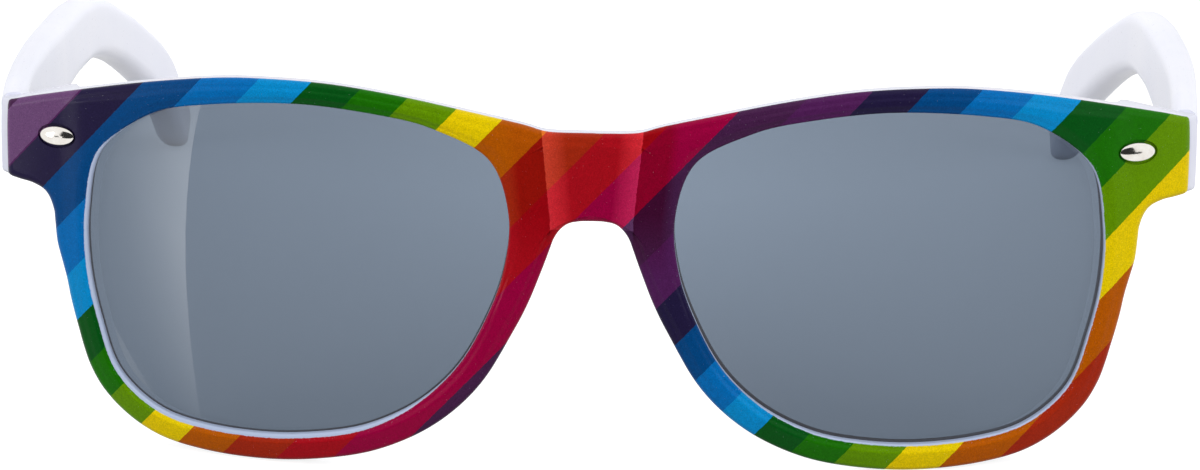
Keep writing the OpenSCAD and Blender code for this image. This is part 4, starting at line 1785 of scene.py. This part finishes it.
@dataclass
class Studs:
    """The two domed oval studs on the end pieces."""

    front: FrontMoulding
    dome: float = 0.95
    wall: float = 0.25
    foot: float = 0.04
    rings: int = 18
    around: int = 96
    sharp: float = 50.0

    def build(self) -> dict[Side, Object]:
        """Makes a stud for each side."""
        return {side: self.stud(side) for side in Side}

    def stud(self, side: Side) -> Object:
        """Makes one stud's head as a closed dome.

        Args:
            side: The wearer's side.

        Returns:
            The head.
        """
        a, b = self.front.stud_l / 2, self.front.stud_h / 2
        sunk = -self.front.stud_sink
        levels = [(1.0 - self.foot, sunk), (1.0, sunk + self.foot)]
        levels += [(math.cos(t), sunk + self.wall + (self.dome - self.wall) * math.sin(t))
                   for t in (math.pi / 2 * k / self.rings for k in range(self.rings))]
        points = [(0.0, 0.0, sunk)]
        for share, z in levels:
            points += [(share * a * math.cos(2 * math.pi * k / self.around),
                        share * b * math.sin(2 * math.pi * k / self.around), z)
                       for k in range(self.around)]
        points.append((0.0, 0.0, sunk + self.dome))
        n, top = self.around, len(points) - 1
        faces: list[tuple[int, ...]] = [(0, 1 + (k + 1) % n, 1 + k) for k in range(n)]
        for r in range(len(levels) - 1):
            faces += strip(1 + r * n, 1 + (r + 1) * n, n, flip=True)
        last = 1 + (len(levels) - 1) * n
        faces += [(last + k, last + (k + 1) % n, top) for k in range(n)]
        mesh = mesh_of("stud", points, faces)
        mesh.transform(self.front.stud_place(side))
        if side is Side.RIGHT:
            mesh.flip_normals()
        obj = linked(f"oval_stud_{side.word}", mesh)
        shade(obj, self.sharp)
        return obj


@dataclass(frozen=True)
class Viewpoint:
    """The camera, described in the datum frame."""

    distance: float = 560.0
    turn: float = -1.4247
    tilt: float = 10.0
    roll: float = 0.6492
    aside: float = -1.0237
    above: float = -0.1026
    datum_z: float = 5.65
    focal: float = 140.908
    sensor: float = 36.0
    clip: tuple[float, float] = (0.01, 20.0)

    def place(self, stand: Stand) -> None:
        """Makes the camera and sets it as the scene's.

        Args:
            stand: Brings the camera from the datum frame to its place.
        """
        roll, tilt, swing = (Matrix.Rotation(math.radians(angle), 3, axis) for angle, axis in
                             ((self.roll, "Y"), (self.tilt, "X"), (self.turn, "Z")))
        turn = (roll @ tilt @ swing).transposed()
        right, ahead, up = (turn @ Vector(v) for v in ((1, 0, 0), (0, 1, 0), (0, 0, 1)))
        back = Vector((-self.aside, -self.distance, -self.above))
        where = turn @ back + Vector((0, 0, self.datum_z))
        axes = Matrix((right, up, -ahead)).transposed().to_4x4()
        data = bpy.data.cameras.new("camera")
        data.lens, data.sensor_width = self.focal, self.sensor
        data.clip_start, data.clip_end = self.clip
        camera = linked("camera", data)
        lean = Matrix.Rotation(-stand.lean, 4, "X")
        camera.matrix_world = Matrix.Translation(stand.matrix @ where) @ lean @ axes
        bpy.context.scene.camera = camera


@dataclass(frozen=True)
class Lamp:
    """A square lamp: its middle and its side in metres, and its power in watts."""

    place: Place
    size: float
    power: float


@dataclass
class Studio:
    """Pale floor, soft lamps, a white surround and a dark wall behind the camera."""

    # Brightness of the world, on the object and in reflections, and the floor.
    world: float = 0.50
    room: float = 0.95
    floor_size: float = 6.0
    floor_grey: float = 0.4
    floor_glow: float = 0.82
    floor_down: float = 0.00002
    # The dark wall behind the camera, with the strip beside it.
    dark: float = 0.03
    wall_y: float = -1.4
    wall_low: float = -0.32
    wall_high: float = 1.8
    wall_half: float = 1.55
    strip_far: float = 2.3
    strip_low: float = -0.3
    strip_high: float = 0.1
    # The soft box, and the bright card beyond it.
    box_y: float = -0.9
    box_edge: float = -0.884
    box_far: float = -1.45
    box_middle: float = -0.083
    box_bow: float = 16.0
    box_low: float = -0.16
    box_high: float = 0.02
    box_steps: int = 16
    box_bright: float = 3.6
    box_fade: tuple[float, float] = (0.014, 0.078)
    box_inner: tuple[float, float] = (0.1, 0.04)
    box_lift: float = 0.01
    glare: float = 9.0
    glare_near: float = -1.8
    glare_far: float = -3.2
    glare_low: float = -0.3
    glare_high: float = 0.6
    # The lamps, and the point that they are aimed at.
    aim: Place = (0, 0, 0.02)
    top: Lamp = Lamp((0.15, -0.25, 0.9), 0.5, 1.6)
    back: Lamp = Lamp((0.0, 0.75, 0.75), 0.6, 2.0)
    inner: Lamp = Lamp((0.0, 0.065, 0.085), 0.05, 0.026)
    side_turn: float = 60.0
    side_far: float = 0.85
    side_up: float = 0.3
    side_size: float = 0.5
    side_power: float = 3.3

    @staticmethod
    def card(name: str, corners: Sequence[Place],
             strength: Callable[[Tree, Any], Any] | float) -> None:
        """Adds an upright card that only reflections see.

        Args:
            name: Name of the card.
            corners: Its corners in order, in metres.
            strength: How bright it is, or the nodes that find it from the place on the card.
        """
        obj = linked(name, mesh_of(name, corners, [range(len(corners))]))
        obj.visible_camera = obj.visible_diffuse = obj.visible_shadow = False
        obj.visible_transmission = False
        material, tree = new_material(name)
        tree.tree.nodes.remove(tree.find("BSDF_PRINCIPLED"))
        if callable(strength):
            strength = strength(tree, tree.add("ShaderNodeTexCoord").outputs["Object"])
        glow = tree.first("ShaderNodeEmission", {"Strength": strength})
        tree.lead(glow, tree.find("OUTPUT_MATERIAL").inputs["Surface"])
        dress(obj, material)

    def board(self, name: str, across: Point, y: float, up: Point, strength: float) -> None:
        """Adds a square-cornered card, from its two ends in x, its depth and its two ends in z."""
        (near, far), (low, high) = across, up
        self.card(name, ((near, y, low), (far, y, low), (far, y, high), (near, y, high)), strength)

    def soft_box(self) -> None:
        """Adds the soft box that shows in the lens on the viewer's left, with its bowed edge."""
        corners = [(self.box_far, self.box_y, z) for z in (self.box_high, self.box_low)]
        for k in range(self.box_steps + 1):
            z = mix(self.box_low, self.box_high, k / self.box_steps)
            bow = self.box_bow * (z - self.box_middle) ** 2
            corners.append((self.box_edge + bow, self.box_y, z))

        def glow(tree: Tree, place: Any) -> Any:
            """Brightest next to the bowed edge at half height, faded out all round.

            Args:
                tree: The card's tree.
                place: Object coordinates.

            Returns:
                The strength.
            """
            x, _, z = tree.split(place)
            far, edge = self.box_inner
            across = tree.span(x, self.box_far + far, self.box_edge + edge)
            up = tree.math("ABSOLUTE", tree.minus(z, self.box_middle + self.box_lift))
            tall = tree.span(up, *self.box_fade, 1.0, 0.0)
            both = tree.times(tree.math("POWER", across, 2.0), tall)
            return tree.plus(tree.times(both, self.box_bright), self.dark)

        self.card("soft_box", corners, glow)

    @staticmethod
    def seen(tree: Tree) -> tuple[NodeSocket, NodeSocket]:
        """Tells rays apart.

        Args:
            tree: The tree to put the nodes in.

        Returns:
            1 for what the eye sees, straight or through a lens, and 1 for reflections.
        """
        path = tree.add("ShaderNodeLightPath").outputs
        eye = tree.math("MAXIMUM", path["Is Camera Ray"], path["Is Transmission Ray"])
        return eye, path["Is Glossy Ray"]

    def floor(self) -> None:
        """Makes the floor: white to the eye, with the object's shadow on it."""
        h, z = self.floor_size / 2, -self.floor_down
        corners = [(-h, -h, z), (h, -h, z), (h, h, z), (-h, h, z)]
        obj = linked("floor", mesh_of("floor", corners, [(0, 1, 2, 3)]))
        obj.visible_glossy = False
        material, tree = new_material("pale_floor")
        shader = tree.find("BSDF_PRINCIPLED").inputs
        shader["Base Color"].default_value = (self.floor_grey,) * 3 + (1,)
        shader["Roughness"].default_value = 1.0
        shader["Specular IOR Level"].default_value = 0.0
        seen, _ = self.seen(tree)
        tree.lead(tree.times(seen, self.floor_glow), shader["Emission Strength"])
        shader["Emission Color"].default_value = (1, 1, 1, 1)
        dress(obj, material)

    def surround(self) -> None:
        """Sets the world: plain white to the eye, an even soft light on the object."""
        world = bpy.data.worlds.new("surround")
        bpy.context.scene.world = world
        world.use_nodes = True
        tree = Tree(world.node_tree)
        back = tree.find("BACKGROUND")
        seen, mirrored = self.seen(tree)
        strength = tree.plus(self.world, tree.times(seen, 1 - self.world))
        glossy = tree.times(mirrored, self.room - self.world)
        tree.lead(tree.plus(strength, glossy), back.inputs["Strength"])
        back.inputs["Color"].default_value = (1, 1, 1, 1)

    def light(self, name: str, lamp: Lamp) -> None:
        """Adds a lamp aimed at the object, which neither the camera nor reflections see.

        Args:
            name: Name of the lamp.
            lamp: Its place, size and power.
        """
        data = bpy.data.lights.new(name, "AREA")
        data.shape, data.size, data.energy = "SQUARE", lamp.size, lamp.power
        obj = linked(name, data)
        obj.location = lamp.place
        aimed = (Vector(self.aim) - Vector(lamp.place)).to_track_quat("-Z", "Y")
        obj.rotation_euler = aimed.to_euler()
        obj.visible_camera = obj.visible_glossy = obj.visible_transmission = False

    def build(self) -> None:
        """Sets up the whole studio."""
        self.floor()
        self.surround()
        for name, lamp in (("top", self.top), ("back", self.back), ("inner", self.inner)):
            self.light(f"{name}_light", lamp)
        turn = math.radians(self.side_turn)
        aside, ahead = self.side_far * math.sin(turn), self.side_far * math.cos(turn)
        for name, sign in (("left_light", -1), ("right_light", 1)):
            place = (sign * aside, -ahead, self.side_up)
            self.light(name, Lamp(place, self.side_size, self.side_power))
        half = self.wall_half
        self.board("dark_wall", (-half, half), self.wall_y, (self.wall_low, self.wall_high),
                   self.dark)
        self.board("dark_strip", (half, self.strip_far), self.wall_y,
                   (self.strip_low, self.strip_high), self.dark)
        self.soft_box()
        self.board("glare", (self.glare_near, self.glare_far), self.box_y,
                   (self.glare_low, self.glare_high), self.glare)
        bpy.context.scene.view_settings.view_transform = "Standard"


def main() -> None:
    """Builds the sunglasses, one sub-assembly after the other, and the studio."""
    logging.basicConfig(level=logging.INFO, format="%(name)s: %(message)s")
    joint = next(j for j in frame["joints"] if j["name"] == "fold_left")
    sketch = FrontMoulding(Stand(0.0, (0.0, 0.0, 0.0)), LensShape(), Wrap())
    arm = Temple(sketch, Side.LEFT)
    hinge = (arm.axis_x, sketch.butt_y + arm.axis_back, sketch.end_z + sketch.hinge_up)
    stand = Stand.on_hinge(joint, hinge)
    Viewpoint().place(stand)
    Studio().build()

    effects = Effects()
    printed = PrintedPlastic().build(effects, stand, sketch.panel_sizes)
    white = WhitePlastic().build(effects)
    smoke = SmokeLens().build()
    chrome = Metal("polished_chrome").build(effects)
    nickel = Metal("nickelled_steel", bright=(0.64, 0.63, 0.61, 1), dull=(0.57, 0.56, 0.54, 1),
                   smooth=0.26, worn=0.36, relief=0.000003).build(effects)

    front = FrontMoulding(stand, LensShape(), Wrap())
    shell = front.build()
    dress(shell, printed)
    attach(shell, "front")
    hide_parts("front_frame")
    log.info("front: %d faces", len(shell.data.polygons))

    for side, lens in LensPair(front).build(smoke).items():
        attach(lens, "front")
        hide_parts(f"lens_{side.word}")
        log.info("lens %s: %d faces", side.word, len(lens.data.polygons))

    for side, stud in Studs(front).build().items():
        dress(stud, chrome)
        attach(stud, "front")
        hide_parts(f"stud_{side.word}")
        log.info("stud %s: %d faces", side.word, len(stud.data.polygons))

    for side in Side:
        temple = Temple(front, side).build()
        dress(temple, white)
        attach(temple, f"temple_{side.word}_arm")
        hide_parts(f"temple_{side.word}")
        log.info("temple %s: %d faces", side.word, len(temple.data.polygons))
        for node in ("front_hinge", "temple_hinge", "front_rivets", "temple_rivets", "hinge_screw"):
            for slot in frame["nodes"][f"{node}_{side.word}"].material_slots:
                slot.material = nickel


if __name__ == "__main__":
    main()
